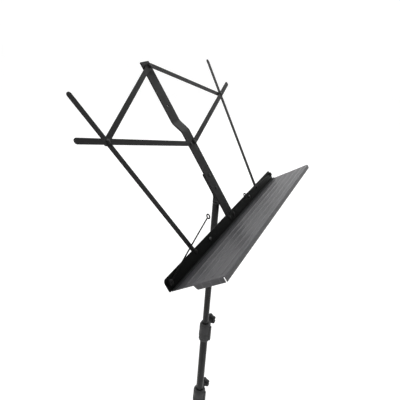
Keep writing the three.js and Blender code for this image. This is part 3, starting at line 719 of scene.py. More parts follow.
def build_shelf():
    made = piece("shelf_sheet", shelf_mesh(), DESK, "desk", ("music_shelf",))
    for polygon in made.data.polygons:
        if polygon.normal.z < -0.2:
            made.data.flip_normals()
            break
    wall = made.modifiers.new("sheet", "SOLIDIFY")
    wall.thickness = SHEET * MM
    wall.offset = -1
    wall.use_even_offset = True
    bevel = made.modifiers.new("edge", "BEVEL")
    bevel.width = 0.25 * MM
    bevel.segments = 2
    bevel.limit_method = "ANGLE"
    bevel.angle_limit = math.radians(60)
    return made


def ledge_outline():
    half, height, corner, low_corner = (LEDGE[key] for key in ("half", "height", "corner", "foot_corner"))
    low = GAP + low_corner
    points = []
    for centre, first, radius in (
        ((half - low_corner, low), -90, low_corner), ((half - corner, height - corner), 0, corner),
        ((-half + corner, height - corner), 90, corner), ((-half + low_corner, low), 180, low_corner),
    ):
        for i in range(11):
            angle = math.radians(first + 9 * i)
            points.append((centre[0] + radius * math.cos(angle), centre[1] + radius * math.sin(angle)))
    return points


def build_ledge():
    face = prism(ledge_outline(), -LEDGE["thickness"], 0)
    half, flange = SHELF_HALF, LEDGE["flange"]
    floor = prism([(-half, 0.05), (half, 0.05), (half, flange), (-half, flange)], GAP, GAP + 1.4)
    floor.transform(turn("X", -90) @ Matrix.Scale(-1, 4, (0, 1, 0)))
    return piece("ledge_strip", merged(face, floor), DESK, "desk", ("ledge",), edge=sizes().edge_round)


def main_bar_mesh():
    """The wide bar's side profile, with rounded bends at its step, drawn out across the desk."""
    step, half = MAIN_BAR["step"], MAIN_BAR["half"]
    path = eased([(MAIN_BAR["low"], 0.0), (MAIN_BAR["step_low"], 0.0), (MAIN_BAR["step_high"], step),
                  (MAIN_BAR["top"], step)], 3.0, 5)
    front, back = [], []
    for i, (height, depth) in enumerate(path):
        before = Vector(path[max(0, i - 1)])
        after = Vector(path[min(len(path) - 1, i + 1)])
        along = (after - before).normalized()
        normal = Vector((-along.y, along.x))
        here = Vector((height, depth))
        front.append(here)
        back.append(here + normal * MAIN_BAR["thickness"])
    outline = [(point.y - LAYER["main"], point.x) for point in front + back[::-1]]
    body = prism(outline, -half, half)
    body.transform(turn("Y", 90))
    return body


def build_main_bar():
    foot_plate = prism([(-17, 3.2), (17, 3.2), (17, 16), (13.9, 21), (-13.9, 21), (-17, 16)],
                       LAYER["main"] - MAIN_BAR["thickness"] + 0.05, LAYER["main"] - 0.05)
    radius = MAIN_HOLE["radius"]
    drill = moved(turned([(0, -9), (radius, -9), (radius, 9), (0, 9)], 40),
                  shift(0, MAIN_HOLE["up"], LAYER["main"] - MAIN_BAR["step"]))
    bar = merged(drilled(main_bar_mesh(), drill), foot_plate)
    piece("centre_bar", bar, LATTICE, "desk", ("main_bar",), edge=sizes().edge_round)


def build_tilt_bracket():
    """The channel behind the centre bar, with its two ears round the tilt bolt."""
    pivot = LATTICE.inverted() @ Vector(JOINTS["desk_tilt"]["pos_m"]) / MM
    low, high, half, ear, eye = (BRACKET[key] for key in ("low", "high", "half", "ear", "eye"))
    front = LAYER["main"] - MAIN_BAR["thickness"] - GAP
    rear = LAYER["main"] - MAIN_BAR["thickness"] - BRACKET["depth"]
    base = prism([(-half, low), (half, low), (half, high), (-half, high)], front - BRACKET["sheet"], front)
    round_eye = []
    for i in range(13):
        angle = math.radians(180 + 11.5 * i)
        round_eye.append((pivot.y + eye * math.cos(angle), pivot.z + eye * math.sin(angle)))
    side = [(pivot.y - eye, front), *round_eye, (low, rear - 0.6), (low + 4, rear), (high - 3, rear),
            (high - 0.8, rear + 1), (high, rear + 4), (high, front)]
    outline = [(-out, up) for up, out in side]
    ears = []
    for start in (-half, half - ear):
        plate = moved(prism(outline, start, start + ear), turn("Y", 90))
        ears.append(plate)
    piece("tilt_bracket_channel", merged(base, *ears), LATTICE, "desk", ("tilt_bracket",), edge=0.3)


def bar_piece(name, start_pin, end_pin, reach, front, edge):
    start, end = Vector(start_pin), Vector(end_pin)
    angle = math.atan2(end.y - start.y, end.x - start.x)
    reach = reach or (end - start).length + sizes().bar_width / 2
    outline = round_bar(-sizes().bar_width / 2, reach, sizes().bar_width)
    mesh = prism(outline, front - sizes().bar_thickness, front)
    mesh.transform(shift(start.x, start.y) @ Matrix.Rotation(angle, 4, "Z"))
    piece(f"{name}_flat", mesh, LATTICE, "desk", (name,), edge=edge)


def build_lattice():
    edge = sizes().edge_round
    for label, side in SIDES:
        ledge, corner, brace = [(side * x, u) for x, u in (LEDGE_PIN, CORNER_PIN, BRACE_PIN)]
        bar_piece(f"side_bar_{label}", ledge, corner, SIDE_BAR_REACH, LAYER["side"], edge)
        bar_piece(f"brace_bar_{label}", brace, corner, BRACE_BAR_REACH, LAYER["brace"], edge)
        bar_piece(f"top_bar_{label}", corner, CROWN_PIN, None, LAYER[f"top_{label}"], edge)


# ------------------------------------------------------------------ repeated fasteners by Geometry Nodes
def scatter_tree():
    """A node group that stands a copy of one shape on every point, turned to the point's own direction."""
    name = "fastener_scatter"
    if name in bpy.data.node_groups:
        return bpy.data.node_groups[name]
    tree = bpy.data.node_groups.new(name, "GeometryNodeTree")
    face = tree.interface
    face.new_socket("Geometry", in_out="INPUT", socket_type="NodeSocketGeometry")
    face.new_socket("Shape", in_out="INPUT", socket_type="NodeSocketObject")
    face.new_socket("Random Turn", in_out="INPUT", socket_type="NodeSocketFloat")
    face.new_socket("Seed", in_out="INPUT", socket_type="NodeSocketInt")
    face.new_socket("Finish", in_out="INPUT", socket_type="NodeSocketMaterial")
    face.new_socket("Geometry", in_out="OUTPUT", socket_type="NodeSocketGeometry")

    def node(kind, settings=None, sockets=None):
        made = tree.nodes.new(kind)
        for key, value in (settings or {}).items():
            setattr(made, key, value)
        for key, value in (sockets or {}).items():
            if isinstance(value, bpy.types.NodeSocket):
                tree.links.new(value, made.inputs[key])
            else:
                made.inputs[key].default_value = value
        return made

    given = node("NodeGroupInput")
    shape = node("GeometryNodeObjectInfo", {"transform_space": "ORIGINAL"}, {"Object": given.outputs["Shape"]})
    facing = node("GeometryNodeInputNamedAttribute", {"data_type": "FLOAT_VECTOR"}, {"Name": "facing"})
    base = node("FunctionNodeEulerToRotation", {}, {0: facing.outputs[0]})
    chance = node("FunctionNodeRandomValue", {"data_type": "FLOAT"}, {
        2: 0.0, 3: given.outputs["Random Turn"], "Seed": given.outputs["Seed"]})
    spin = node("ShaderNodeCombineXYZ", {}, {2: chance.outputs[1]})
    spun = node("FunctionNodeRotateRotation", {"rotation_space": "LOCAL"}, {
        0: base.outputs[0], 1: spin.outputs[0]})
    copies = node("GeometryNodeInstanceOnPoints", {}, {
        "Points": given.outputs["Geometry"], "Instance": shape.outputs["Geometry"],
        "Rotation": spun.outputs[0]})
    real = node("GeometryNodeRealizeInstances", {}, {0: copies.outputs[0]})
    coloured = node("GeometryNodeSetMaterial", {}, {
        "Geometry": real.outputs[0], "Material": given.outputs["Finish"]})
    node("NodeGroupOutput", {}, {0: coloured.outputs[0]})
    return tree


def scattered(name, shape_mesh, places, body, replaced=(), slot="dark_rivet", random_turn=0.0, seed=1):
    """Copies of a millimetre shape at each place (a matrix in metres), as one plain mesh."""
    shape_mesh.transform(Matrix.Scale(MM, 4))
    bmesh.ops.recalc_face_normals(shape_mesh, faces=shape_mesh.faces)
    shape_data = bpy.data.meshes.new(f"{name}_shape")
    shape_mesh.to_mesh(shape_data)
    shape_mesh.free()
    shape_data.shade_smooth()
    shape_data.set_sharp_from_angle(angle=math.radians(40))
    shape = bpy.data.objects.new(f"{name}_shape", shape_data)
    points = bpy.data.meshes.new(f"{name}_points")
    points.from_pydata([place.to_translation() for place in places], [], [])
    facing = points.attributes.new("facing", "FLOAT_VECTOR", "POINT")
    for entry, place in zip(facing.data, places):
        entry.vector = place.to_euler()
    carrier = bpy.data.objects.new(f"{name}_carrier", points)
    bpy.context.scene.collection.objects.link(carrier)
    nodes = carrier.modifiers.new("scatter", "NODES")
    tree = scatter_tree()
    nodes.node_group = tree
    values = {"Shape": shape, "Random Turn": random_turn, "Seed": seed, "Finish": finish_of(slot)}
    for item in tree.interface.items_tree:
        if item.in_out == "INPUT" and item.name in values:
            nodes[item.identifier] = values[item.name]
    evaluated = carrier.evaluated_get(bpy.context.evaluated_depsgraph_get())
    plain = bpy.data.meshes.new_from_object(evaluated)
    made = bpy.data.objects.new(name, plain)
    bpy.context.scene.collection.objects.link(made)
    bpy.data.objects.remove(carrier)
    bpy.data.objects.remove(shape)
    return settled(made, body, replaced)


def dome_head(radius, height, flat=0.3):
    """Profile of a low domed head that stands on zero, from its rim to its crown."""
    points = [(0, 0), (radius * 0.96, 0), (radius, flat * 0.5), (radius, flat)]
    for i in range(1, 9):
        angle = math.pi / 2 * i / 8
        points.append((radius * math.cos(angle), flat + (height - flat) * math.sin(angle)))
    points[-1] = (0, height)
    return points


def peened_end(radius, height):
    """A riveted-over end: a rolled rim round a shallow dimple."""
    return [(0, 0), (radius, 0), (radius * 1.02, height * 0.3), (radius * 0.9, height * 0.8),
            (radius * 0.7, height), (radius * 0.45, height * 0.86), (radius * 0.25, height * 0.66),
            (0, height * 0.6)]


def drilled(mesh, tool):
    """The mesh with the tool's shape cut out of it."""
    objects = []
    for part, label in ((mesh, "whole"), (tool, "tool")):
        bmesh.ops.recalc_face_normals(part, faces=part.faces)
        objects.append(as_object(label, part))
    whole, cutter = objects
    cut = whole.modifiers.new("cut", "BOOLEAN")
    cut.operation = "DIFFERENCE"
    cut.solver = "EXACT"
    cut.object = cutter
    evaluated = whole.evaluated_get(bpy.context.evaluated_depsgraph_get())
    result = bmesh.new()
    result.from_mesh(evaluated.to_mesh())
    for made in objects:
        bpy.data.objects.remove(made)
    return result


def at_desk(x, up, out, flipped=False, frame_of=None):
    place = (frame_of or DESK) @ shift(x * MM, up * MM, out * MM)
    return place @ turn("X", 180) if flipped else place


def build_rivets():
    both = [side for _, side in SIDES]
    thick = sizes().bar_thickness
    main_back = LAYER["main"] - MAIN_BAR["thickness"]
    crown_back = main_back - MAIN_BAR["step"]
    bracket_back = main_back - GAP - BRACKET["sheet"]
    large = [(LATTICE, side * CORNER_PIN[0], CORNER_PIN[1], LAYER["brace"]) for side in both]
    large += [(DESK, side * LEDGE_PIN[0], LEDGE_PIN[1], 0) for side in both]
    large += [(DESK, side * FOOT_PIN[0], FOOT_PIN[1], 0) for side in both]
    large += [(LATTICE, *CROWN_PIN, LAYER["top_right"])]
    small = [(LATTICE, side * BRACE_PIN[0], BRACE_PIN[1], LAYER["brace"]) for side in both]
    small += [(LATTICE, 0, height, LAYER["main"]) for height in BRACKET_RIVETS]
    tails = [(LATTICE, -CORNER_PIN[0], CORNER_PIN[1], LAYER["top_left"] - thick),
             (LATTICE, CORNER_PIN[0], CORNER_PIN[1], LAYER["top_right"] - thick),
             (LATTICE, *CROWN_PIN, crown_back)]
    tails += [(DESK, side * LEDGE_PIN[0], LEDGE_PIN[1], LAYER["side"] - thick - 0.15) for side in both]
    tails += [(LATTICE, side * BRACE_PIN[0], BRACE_PIN[1], main_back) for side in both]
    tails += [(DESK, side * FOOT_PIN[0], FOOT_PIN[1], main_back - GAP) for side in both]
    tails += [(LATTICE, 0, height, bracket_back) for height in BRACKET_RIVETS]
    nodes = [name for name in SLOT_OF if "_rivet" in name]
    heads = [at_desk(x, up, out + GAP / 2, frame_of=base) for base, x, up, out in large]
    scattered("rivet_heads", turned(dome_head(4.2, 1.25), 40), heads, "desk", nodes)
    heads = [at_desk(x, up, out + GAP / 2, frame_of=base) for base, x, up, out in small]
    scattered("small_rivet_heads", turned(dome_head(3.4, 1.25), 36), heads, "desk")
    ends = [at_desk(x, up, out - GAP / 2, flipped=True, frame_of=base) for base, x, up, out in tails]
    scattered("rivet_tails", turned(peened_end(3.6, 1.1), 36), ends, "desk")
    build_spacers(main_back, crown_back, bracket_back)


def build_spacers(main_back, crown_back, bracket_back):
    """Shanks and washers that show between the layers."""
    stacks = [(side * FOOT_PIN[0], FOOT_PIN[1], main_back - GAP, 0.1, 2.2) for _, side in SIDES]
    stacks += [(side * BRACE_PIN[0], BRACE_PIN[1], main_back, LAYER["brace"], 2.2) for _, side in SIDES]
    stacks += [(side * LEDGE_PIN[0], LEDGE_PIN[1], LAYER["side"] - 1.7, 0.1, 2.2) for _, side in SIDES]
    stacks += [(side * CORNER_PIN[0], CORNER_PIN[1], LAYER[f"top_{label}"] - 1.5, LAYER["brace"], 2.2)
               for label, side in SIDES]
    stacks += [(-CORNER_PIN[0], CORNER_PIN[1], LAYER["top_left"] + 0.15, LAYER["side"] - 1.65, 4.5)]
    stacks += [(*CROWN_PIN, crown_back, LAYER["top_right"], 2.2)]
    stacks += [(*CROWN_PIN, LAYER["main"] - MAIN_BAR["step"] + 0.15, LAYER["top_left"] - 1.65, 4.5)]
    stacks += [(0, height, bracket_back, LAYER["main"], 2.2) for height in BRACKET_RIVETS]
    bars = []
    for x, up, low, high, radius in stacks:
        ease = min(0.25, (high - low) / 4)
        profile = [(0, low), (radius - ease, low), (radius, low + ease), (radius, high - ease),
                   (radius - ease, high), (0, high)]
        bars.append(moved(turned(profile, 32), shift(x, up)))
    piece("rivet_shanks", merged(*bars), LATTICE, "desk", slot="dark_rivet")


def screw_head(radius, height, recess):
    """A pan head on zero with a cross or a single slot."""
    head = turned(dome_head(radius, height, height * 0.45), 48)
    arm = radius * 1.3 if recess == "slot" else radius * 0.62
    width = 0.42
    low = height * 0.45
    bars = [prism([(-arm, -width), (arm, -width), (arm, width), (-arm, width)], low, height + 1)]
    if recess == "cross":
        bars.append(prism([(-width, -arm), (width, -arm), (width, arm), (-width, arm)], low, height + 1))
    for bar in bars:
        head = drilled(head, bar)
    return head


def build_screws():
    x, up = SHELF_SCREW
    places = [at_desk(side * x, up, GAP / 2) for _, side in SIDES]
    nodes = [f"shelf_screw_{label}" for label, _ in SIDES]
    scattered("shelf_screw_heads", screw_head(3.5, 2.0, "cross"), places, "desk", nodes, "zinc_fastener", 1.4, 7)
    nut = turned([(0, 0), (3.6, 0), (3.6, 1.6), (3.2, 2.0), (1.9, 2.0), (1.9, 2.6), (0, 2.6)], 6)
    places = [at_desk(side * x, up, -1.65, flipped=True) for _, side in SIDES]
    scattered("shelf_screw_nuts", nut, places, "desk", (), "zinc_fastener", 1.0, 4)
    places = [at_desk(side * WIRE_PIVOT[0], WIRE_PIVOT[1], 4.35) for _, side in SIDES]
    nodes = [f"page_wire_screw_{label}" for label, _ in SIDES]
    scattered("wire_screw_heads", screw_head(4.4, 1.5, "slot"), places, "desk", nodes, "dark_rivet", 3.0, 3)
    places = [at_desk(side * WIRE_PIVOT[0], WIRE_PIVOT[1], -1.65, flipped=True) for _, side in SIDES]
    scattered("wire_screw_tails", turned(peened_end(3.6, 1.5), 36), places, "desk", (), "dark_rivet")
    shank = turned([(0, -1.7), (2.2, -1.7), (2.2, 4.4), (0, 4.4)], 32)
    places = [at_desk(side * WIRE_PIVOT[0], WIRE_PIVOT[1], 0) for _, side in SIDES]
    scattered("wire_screw_shanks", shank, places, "desk", (), "dark_rivet")


# ------------------------------------------------------------------ page wires
def wire_path(length):
    """Centre line of a page wire: an eye wrapped round the screw, a straight run, and a loop bent at the tip."""
    points = []
    for i in range(45):
        angle = math.radians(22 + 330 * i / 44)
        points.append((WIRE_EYE * math.cos(angle), WIRE_EYE * math.sin(angle), 0.16 - 0.32 * i / 44))
    for i in range(1, 25):
        t = i / 24
        bow = 0.55 * math.sin(math.pi * t)
        out = WIRE_EYE + (length - WIRE_LOOP - WIRE_EYE) * t
        points.append((out, -0.45 * (1 - t) + bow, -0.16 + 0.16 * t))
    for i in range(1, 45):
        angle = math.radians(180 + 345 * i / 44)
        points.append((length + WIRE_LOOP * math.cos(angle), WIRE_LOOP * math.sin(angle), 0.3 * i / 44))
    return [Vector(p) for p in points]


def swept(points, radius, sides=16):
    """A round wire along the points, with rounded ends."""
    mesh = bmesh.new()
    normal = Vector((0, 0, 1))
    rings = []
    count = len(points)
    for i, here in enumerate(points):
        along = (points[min(count - 1, i + 1)] - points[max(0, i - 1)]).normalized()
        normal = (normal - along * normal.dot(along)).normalized()
        side = along.cross(normal)
        ring = []
        for k in range(sides):
            angle = 2 * math.pi * k / sides
            ring.append(mesh.verts.new(here + (normal * math.cos(angle) + side * math.sin(angle)) * radius))
        rings.append(ring)
    for a, b in zip(rings, rings[1:]):
        for k in range(sides):
            mesh.faces.new((a[k], a[(k + 1) % sides], b[(k + 1) % sides], b[k]))
    for ring, inner, outer in ((rings[0], points[1], points[0]), (rings[-1], points[-2], points[-1])):
        tip = mesh.verts.new(outer + (outer - inner).normalized() * radius * 0.6)
        for k in range(sides):
            mesh.faces.new((ring[k], ring[(k + 1) % sides], tip))
    return mesh


def build_page_wires():
    for label, (side, length, rise) in PAGE_WIRES.items():
        wire = swept(wire_path(length), sizes().wire_radius)
        if side > 0:
            wire.transform(Matrix.Scale(-1, 4, (1, 0, 0)))
        wire.transform(shift(side * WIRE_PIVOT[0], WIRE_PIVOT[1], WIRE_FRONT) @ turn("Z", side * -rise))
        node = f"page_wire_{label}"
        piece(f"{node}_bent", wire, DESK, node, (node,), "black_wire")


# ------------------------------------------------------------------ tilt head and knobs
def along_x(height, x=0.0):
    """From a frame along Z to one along X, at a height on the pole's axis."""
    return POLE @ shift(x * MM, 0, height * MM) @ turn("Y", 90)


def knob_mesh(screw, screw_length, grip, grip_depth, neck, neck_length):
    """A lobed grip on a moulded neck and screw, with a dished end and a parting line."""
    lobes = sizes().knob_lobes
    base = screw_length + neck_length
    rows = [(-3.2, 0.0), (-1.2, 0.1), (-0.45, 0.5), (0, 1.3), (0, grip_depth * 0.49), (0.12, grip_depth * 0.5),
            (0, grip_depth * 0.51), (0, grip_depth - 1.8), (-0.5, grip_depth - 0.7), (-1.4, grip_depth - 0.15),
            (-2.4, grip_depth), (-grip * 0.36, grip_depth - 0.1)]
    mesh = bmesh.new()
    sides = 144
    rings = []
    for offset, height in rows:
        ring = []
        for i in range(sides):
            angle = 2 * math.pi * i / sides
            wave = math.cos(lobes * angle)
            radius = grip * (1 + 0.11 * wave - 0.02 * wave * wave) + offset
            ring.append(mesh.verts.new((radius * math.cos(angle), radius * math.sin(angle), base + height)))
        rings.append(ring)
    for a, b in zip(rings, rings[1:]):
        for i in range(sides):
            j = (i + 1) % sides
            mesh.faces.new((a[i], a[j], b[j], b[i]))
    mesh.faces.new(list(reversed(rings[0])))
    mesh.faces.new(rings[-1])
    top = base + grip_depth
    stem = eased([(0, 0), (screw, 0), (screw, screw_length), (neck, screw_length),
                  (neck * 1.02, screw_length + 1),
                  (neck * 1.12, base + 0.6), (0, base + 0.6)], 0.5)
    cap = eased([(0, top - 1.5), (grip * 0.55, top - 1.5), (grip * 0.53, top + 0.9), (grip * 0.42, top + 1.6),
                 (grip * 0.36, top + 0.8), (0, top + 0.7)], 0.5)
    return merged(mesh, turned(stem, 56), turned(cap, 56))


def build_hand_knobs():
    for label, start, screw_length in (("upper", 7.3, 12.0), ("lower", 9.3, 12.2)):
        node = f"{label}_clamp_knob"
        mesh = knob_mesh(screw=3, screw_length=screw_length, grip=13, grip_depth=9, neck=6, neck_length=5)
        piece(f"{node}_grip", mesh, along_x(clamp_height(label), start), node, (node,), sharp=50)
    screw = JOINTS["leg_collar_knob_turn"]
    azimuth = math.atan2(screw["axis"][1], screw["axis"][0])
    place = POLE @ shift(0, 0, screw["pos_m"][2]) @ Matrix.Rotation(azimuth, 4, "Z")
    place = place @ turn("Y", 90) @ shift(0, 0, 11.5 * MM)
    mesh = knob_mesh(screw=3, screw_length=9.8, grip=11, grip_depth=8, neck=5, neck_length=4)
    piece("leg_collar_knob_grip", mesh, place, "leg_collar_knob", ("leg_collar_knob",), sharp=50)


def wing_outline():
    """One wing of the nut, outwards and along the bolt."""
    corners = [(3.0, 8.7), (9.0, 9.2), (13.0, 12.7), (13.0, 17.5), (11.0, 19.0), (8.0, 17.5), (3.0, 11.9)]
    return rounded(corners, (0, 3.0, 2.0, 1.4, 1.4, 2.5, 0), 5)


def build_wing_nut():
    bore = turned([(0, -1), (SCREW_WAY, -1), (SCREW_WAY, 20), (0, 20)], 48)
    profile = eased([(0, 0), (5.8, 0), (5.8, 1.5), (4.8, 3), (4.0, 12), (0, 12)], 0.5)
    body = drilled(turned(profile, 72), bore)
    wings = []
    for side in (1, -1):
        outline = [(side * out, height) for out, height in wing_outline()]
        wings.append(moved(prism(outline, -1.3, 1.3), turn("X", 90)))
    nut = merged(body, *wings)
    pivot = DESK.inverted() @ Vector(JOINTS["desk_tilt"]["pos_m"])
    place = DESK @ Matrix.Translation(pivot) @ shift(HEAD_FACE * MM) @ turn("Y", 90) @ turn("Z", 90)
    piece("wing_nut_cast", nut, place, "tilt_wing_nut", ("tilt_wing_nut",), edge=0.5)


def tilt_height():
    return JOINTS["desk_tilt"]["pos_m"][2] / MM


def clamp_height(label):
    return JOINTS[f"{label}_clamp_knob_turn"]["pos_m"][2] / MM


def build_tilt_bolt():
    radius, end = BOLT["radius"], BOLT["end"]
    head = moved(turned(dome_head(4.2, 2.4, 0.8), 48), shift(0, 0, HEAD_FACE))
    head.transform(turn("X", 180))
    thread = [(0, -6.4), (radius, -6.4), (radius, BOLT["thread"])]
    for i in range(6):
        height = BOLT["thread"] + 0.78 * i
        thread += [(radius, height), (2.62, height + 0.39)]
    thread += [(2.7, 19.4), (2.2, end), (0, end)]
    bolt = merged(head, turned(thread, 40))
    piece("tilt_bolt_steel", bolt, along_x(tilt_height()), "desk", ("tilt_bolt",))


def build_pole_head():
    """A plug in the upper tube with a flat-sided tongue that stands between the bracket's ears."""
    pivot = tilt_height()
    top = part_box("upper_tube")[1][2] / MM
    low = top - HEAD["plug"]
    shoulder = top + GAP + HEAD["shoulder"]
    plug = eased([(0, low), (5.0, low), (5.7, low + 1), (5.7, top + GAP), (7, top + GAP),
                  (7, shoulder - 1), (5.8, shoulder), (0, shoulder)], 0.4)
    piece("pole_head_plug", turned(plug, 72), POLE, "upper_pole", ("pole_head",))
    outline = [(-6.3, shoulder - pivot - 2.5), (6.3, shoulder - pivot - 2.5)]
    for i in range(25):
        angle = math.pi * i / 24
        outline.append((HEAD["tongue"] * math.cos(angle), HEAD["tongue"] * math.sin(angle)))
    tongue = moved(prism(outline, -HEAD["half"], HEAD["half"]), turn("Z", 90) @ turn("X", 90))
    hole = moved(turned([(0, -12), (SCREW_WAY, -12), (SCREW_WAY, 12), (0, 12)], 48), turn("Y", 90))
    tongue = drilled(tongue, hole)
    place = POLE @ shift(0, 0, pivot * MM)
    piece("pole_head_tongue", tongue, place, "upper_pole", slot="black_plastic", edge=0.9)


# ------------------------------------------------------------------ pole
def tube_size(node):
    low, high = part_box(node)
    return (high[0] - low[0]) / 2 / MM, low[2] / MM, high[2] / MM


def build_tubes():
    for node, wall in TUBE_WALLS.items():
        outer, low, high = tube_size(node)
        inner = outer - wall
        profile = eased([(inner, low), (outer, low), (outer, high), (inner, high), (inner, low)], 0.35)
        piece(f"{node}_drawn", turned(profile, 96), POLE, BODY_OF[node], (node,), sharp=50)


def clamp_housing(label):
    """The clamp's moulded sleeve round both tubes, bored for its screw."""
    outer_tube, inner_tube = CLAMPS[label]
    outer, _, top = tube_size(outer_tube)
    inner = tube_size(inner_tube)[0]
    low, high = top - CLAMP["below"], top + CLAMP["above"]
    wall = outer + CLAMP["wall"]
    housing = eased([
        (outer + GAP, low), (wall - 1, low), (wall, low + 1.5), (wall, low + 7), (wall - 0.6, low + 7.6),
        (wall - 0.6, low + 9), (wall, low + 9.6), (wall, high - 9), (wall - 0.6, high - 8.4),
        (wall - 0.6, high - 7.4), (wall, high - 6.8), (wall - 0.2, high - 6), (inner + 3, high),
        (inner + GAP, high), (inner + GAP, top + GAP), (outer + GAP, top + GAP), (outer + GAP, low)], 0.5)
    screw_way = turned([(0, inner - 1), (SCREW_WAY, inner - 1), (SCREW_WAY, wall + 8), (0, wall + 8)], 40)
    screw_way.transform(shift(0, 0, clamp_height(label)) @ turn("Y", 90))
    return drilled(turned(housing, 96), screw_way)


def build_clamp(label):
    body = BODY_OF[f"{label}_clamp"]
    outer, _, top = tube_size(CLAMPS[label][0])
    low, high = top - CLAMP["below"], top + CLAMP["above"]
    wall = outer + CLAMP["wall"]
    piece(f"{label}_clamp_housing", clamp_housing(label), POLE, body, (f"{label}_clamp",), sharp=32)
    boss = turned(eased([(SCREW_WAY, wall - 2.5), (6.6, wall - 2.5), (6.1, wall + 1), (6, wall + 6),
                         (SCREW_WAY, wall + 6), (SCREW_WAY, wall - 2.5)], 0.5), 64)
    piece(f"{label}_clamp_boss", boss, along_x(clamp_height(label)), body, slot="black_plastic")
    spine = prism([(-3, -wall - 2.6), (3, -wall - 2.6), (4, -wall + 1), (-4, -wall + 1)], low + 3, high - 8)
    piece(f"{label}_clamp_spine", spine, POLE, body, slot="black_plastic", edge=0.8)
    places = [POLE @ shift(0, 0, (low + 13 + 3.2 * i) * MM) for i in range(4)]
    band = turned([(wall - 0.5, -0.7), (wall, -0.7), (wall + 0.45, -0.25), (wall + 0.45, 0.25), (wall, 0.7),
                   (wall - 0.5, 0.7), (wall - 0.5, -0.7)], 72)
    scattered(f"{label}_clamp_ribs", band, places, body, (), "black_plastic")


def build_clamps():
    for label in CLAMPS:
        build_clamp(label)


# ------------------------------------------------------------------ tripod
def leg_azimuth(number):
    position = Vector(JOINTS[f"leg_{number}_fold"]["pos_m"]) - POLE.translation
    return math.atan2(position.y, position.x)


def collar_height():
    return JOINTS["leg_1_fold"]["pos_m"][2] / MM


def hub_height():
    low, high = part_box("hub_pin_1")
    return (low[2] + high[2]) / 2 / MM


def open_angle():
    """How far a leg leans from upright, in radians."""
    pin, knee = (Vector(JOINTS[name]["pos_m"]) - POLE.translation for name in ("leg_1_fold", "strut_1_fold"))
    return math.atan2(knee.xy.length - pin.xy.length, pin.z - knee.z)


def radial_place(number, radius=0.0, height=0.0):
    """Z up, X outwards along a leg's own direction, at a radius and height in millimetres."""
    return POLE @ Matrix.Rotation(leg_azimuth(number), 4, "Z") @ shift(radius * MM, 0, height * MM)


def leg_place(number):
    return radial_place(number, LEG["radius"], collar_height()) @ Matrix.Rotation(-open_angle(), 4, "Y")


def strut_place(number):
    angle = open_angle()
    out = LEG["radius"] + LEG["strut_at"] * math.sin(angle)
    height = collar_height() - LEG["strut_at"] * math.cos(angle)
    return radial_place(number, out, height) @ Matrix.Rotation(angle, 4, "Y")


def leg_section():
    inner, outer, half, sheet = LEG["inner"], LEG["outer"], LEG["half"], LEG["sheet"]
    corners = [(inner, -half), (outer, -half), (outer, half), (inner, half), (inner, half - sheet),
               (outer - sheet, half - sheet), (outer - sheet, -half + sheet), (inner, -half + sheet)]
    return rounded(corners, (0, 2.4, 2.4, 0, 0, 1.0, 1.0, 0))


def hole_across(height):
    hole = turned([(0, -9), (PIN_HOLE, -9), (PIN_HOLE, 9), (0, 9)], 40)
    return moved(hole, shift(0, 0, height) @ turn("X", 90))


def build_legs():
    for number in LEGS:
        channel = prism(leg_section(), -LEG["length"], LEG["overrun"])
        for height in (0, -LEG["strut_at"]):
            channel = drilled(channel, hole_across(height))
        corner = moved(prism([(-9, -9), (-2.5, -9), (-9, -2)], -9, 9), shift(-1.2, 0, 7.5) @ turn("X", 90))
        channel = drilled(channel, corner)
        node = f"leg_{number}"
        piece(f"{node}_channel", channel, leg_place(number), node, (node,), edge=0.3)


def build_struts():
    for number in LEGS:
        half = STRUT["width"] / 2
        bar = prism(round_bar(-half, LEG["strut_at"] + half, STRUT["width"]), STRUT["near"], STRUT["far"])
        for along in (0, LEG["strut_at"]):
            bar = drilled(bar, moved(turned([(0, 0), (2.4, 0), (2.4, 6), (0, 6)], 40), shift(along)))
        groove = prism(round_bar(12, LEG["strut_at"] - 12, 3.2, 10), 3.75, 5)
        bar = drilled(bar, groove)
        bar.transform(turn("Y", 90) @ turn("X", -90))
        node = f"strut_{number}"
        piece(f"{node}_bar", bar, strut_place(number), node, (node,), edge=0.3)


def cross_pin():
    face = 6.15
    profile = [(0, -face - 1.2), (3.2, -face - 1.2), (3.6, -face - 0.8), (3.6, -face),
               (2.1, -face), (2.1, face),
               (3.6, face), (3.6, face + 0.5), (3.2, face + 1.0), (2.0, face + 1.25), (1.2, face + 0.95),
               (0, face + 0.85)]
    return moved(turned(profile, 40), turn("X", 90))


def hub_pin():
    profile = [(0, -1.5), (2.1, -1.5), (2.1, 1.65), (3.6, 1.65), (3.6, 2.0), (3.1, 2.6), (1.8, 2.75), (0, 2.8)]
    return moved(turned(profile, 40), turn("X", 90))


def build_leg_pins():
    at_collar = [leg_place(number) for number in LEGS]
    nodes = [f"leg_pin_{number}" for number in LEGS]
    scattered("leg_pin_set", cross_pin(), at_collar, "leg_collar", nodes, "zinc_fastener")
    at_hub = [radial_place(number, LEG["radius"], hub_height()) for number in LEGS]
    nodes = [f"hub_pin_{number}" for number in LEGS]
    scattered("hub_pin_set", hub_pin(), at_hub, "base_pole", nodes, "zinc_fastener")
    for number in LEGS:
        at_strut = leg_place(number) @ shift(0, 0, -LEG["strut_at"] * MM)
        node = f"strut_pin_{number}"
        scattered(f"{node}_turned", cross_pin(), [at_strut], f"leg_{number}", (node,), "zinc_fastener")


def lug_mesh():
    half, tip = LUG["half"], LEG["radius"] + LUG["width"] / 2
    lug = prism(round_bar(HUB["bore"], tip, LUG["width"]), -half, half)
    eye = turned([(0, -3), (PIN_HOLE, -3), (PIN_HOLE, 3), (0, 3)], 40)
    lug = drilled(lug, moved(eye, shift(LEG["radius"])))
    gusset = prism([(11, -7.5), (19.5, -4.2), (19.5, 4.2), (11, 7.5)], -half, half)
    return moved(merged(lug, gusset), turn("X", 90))


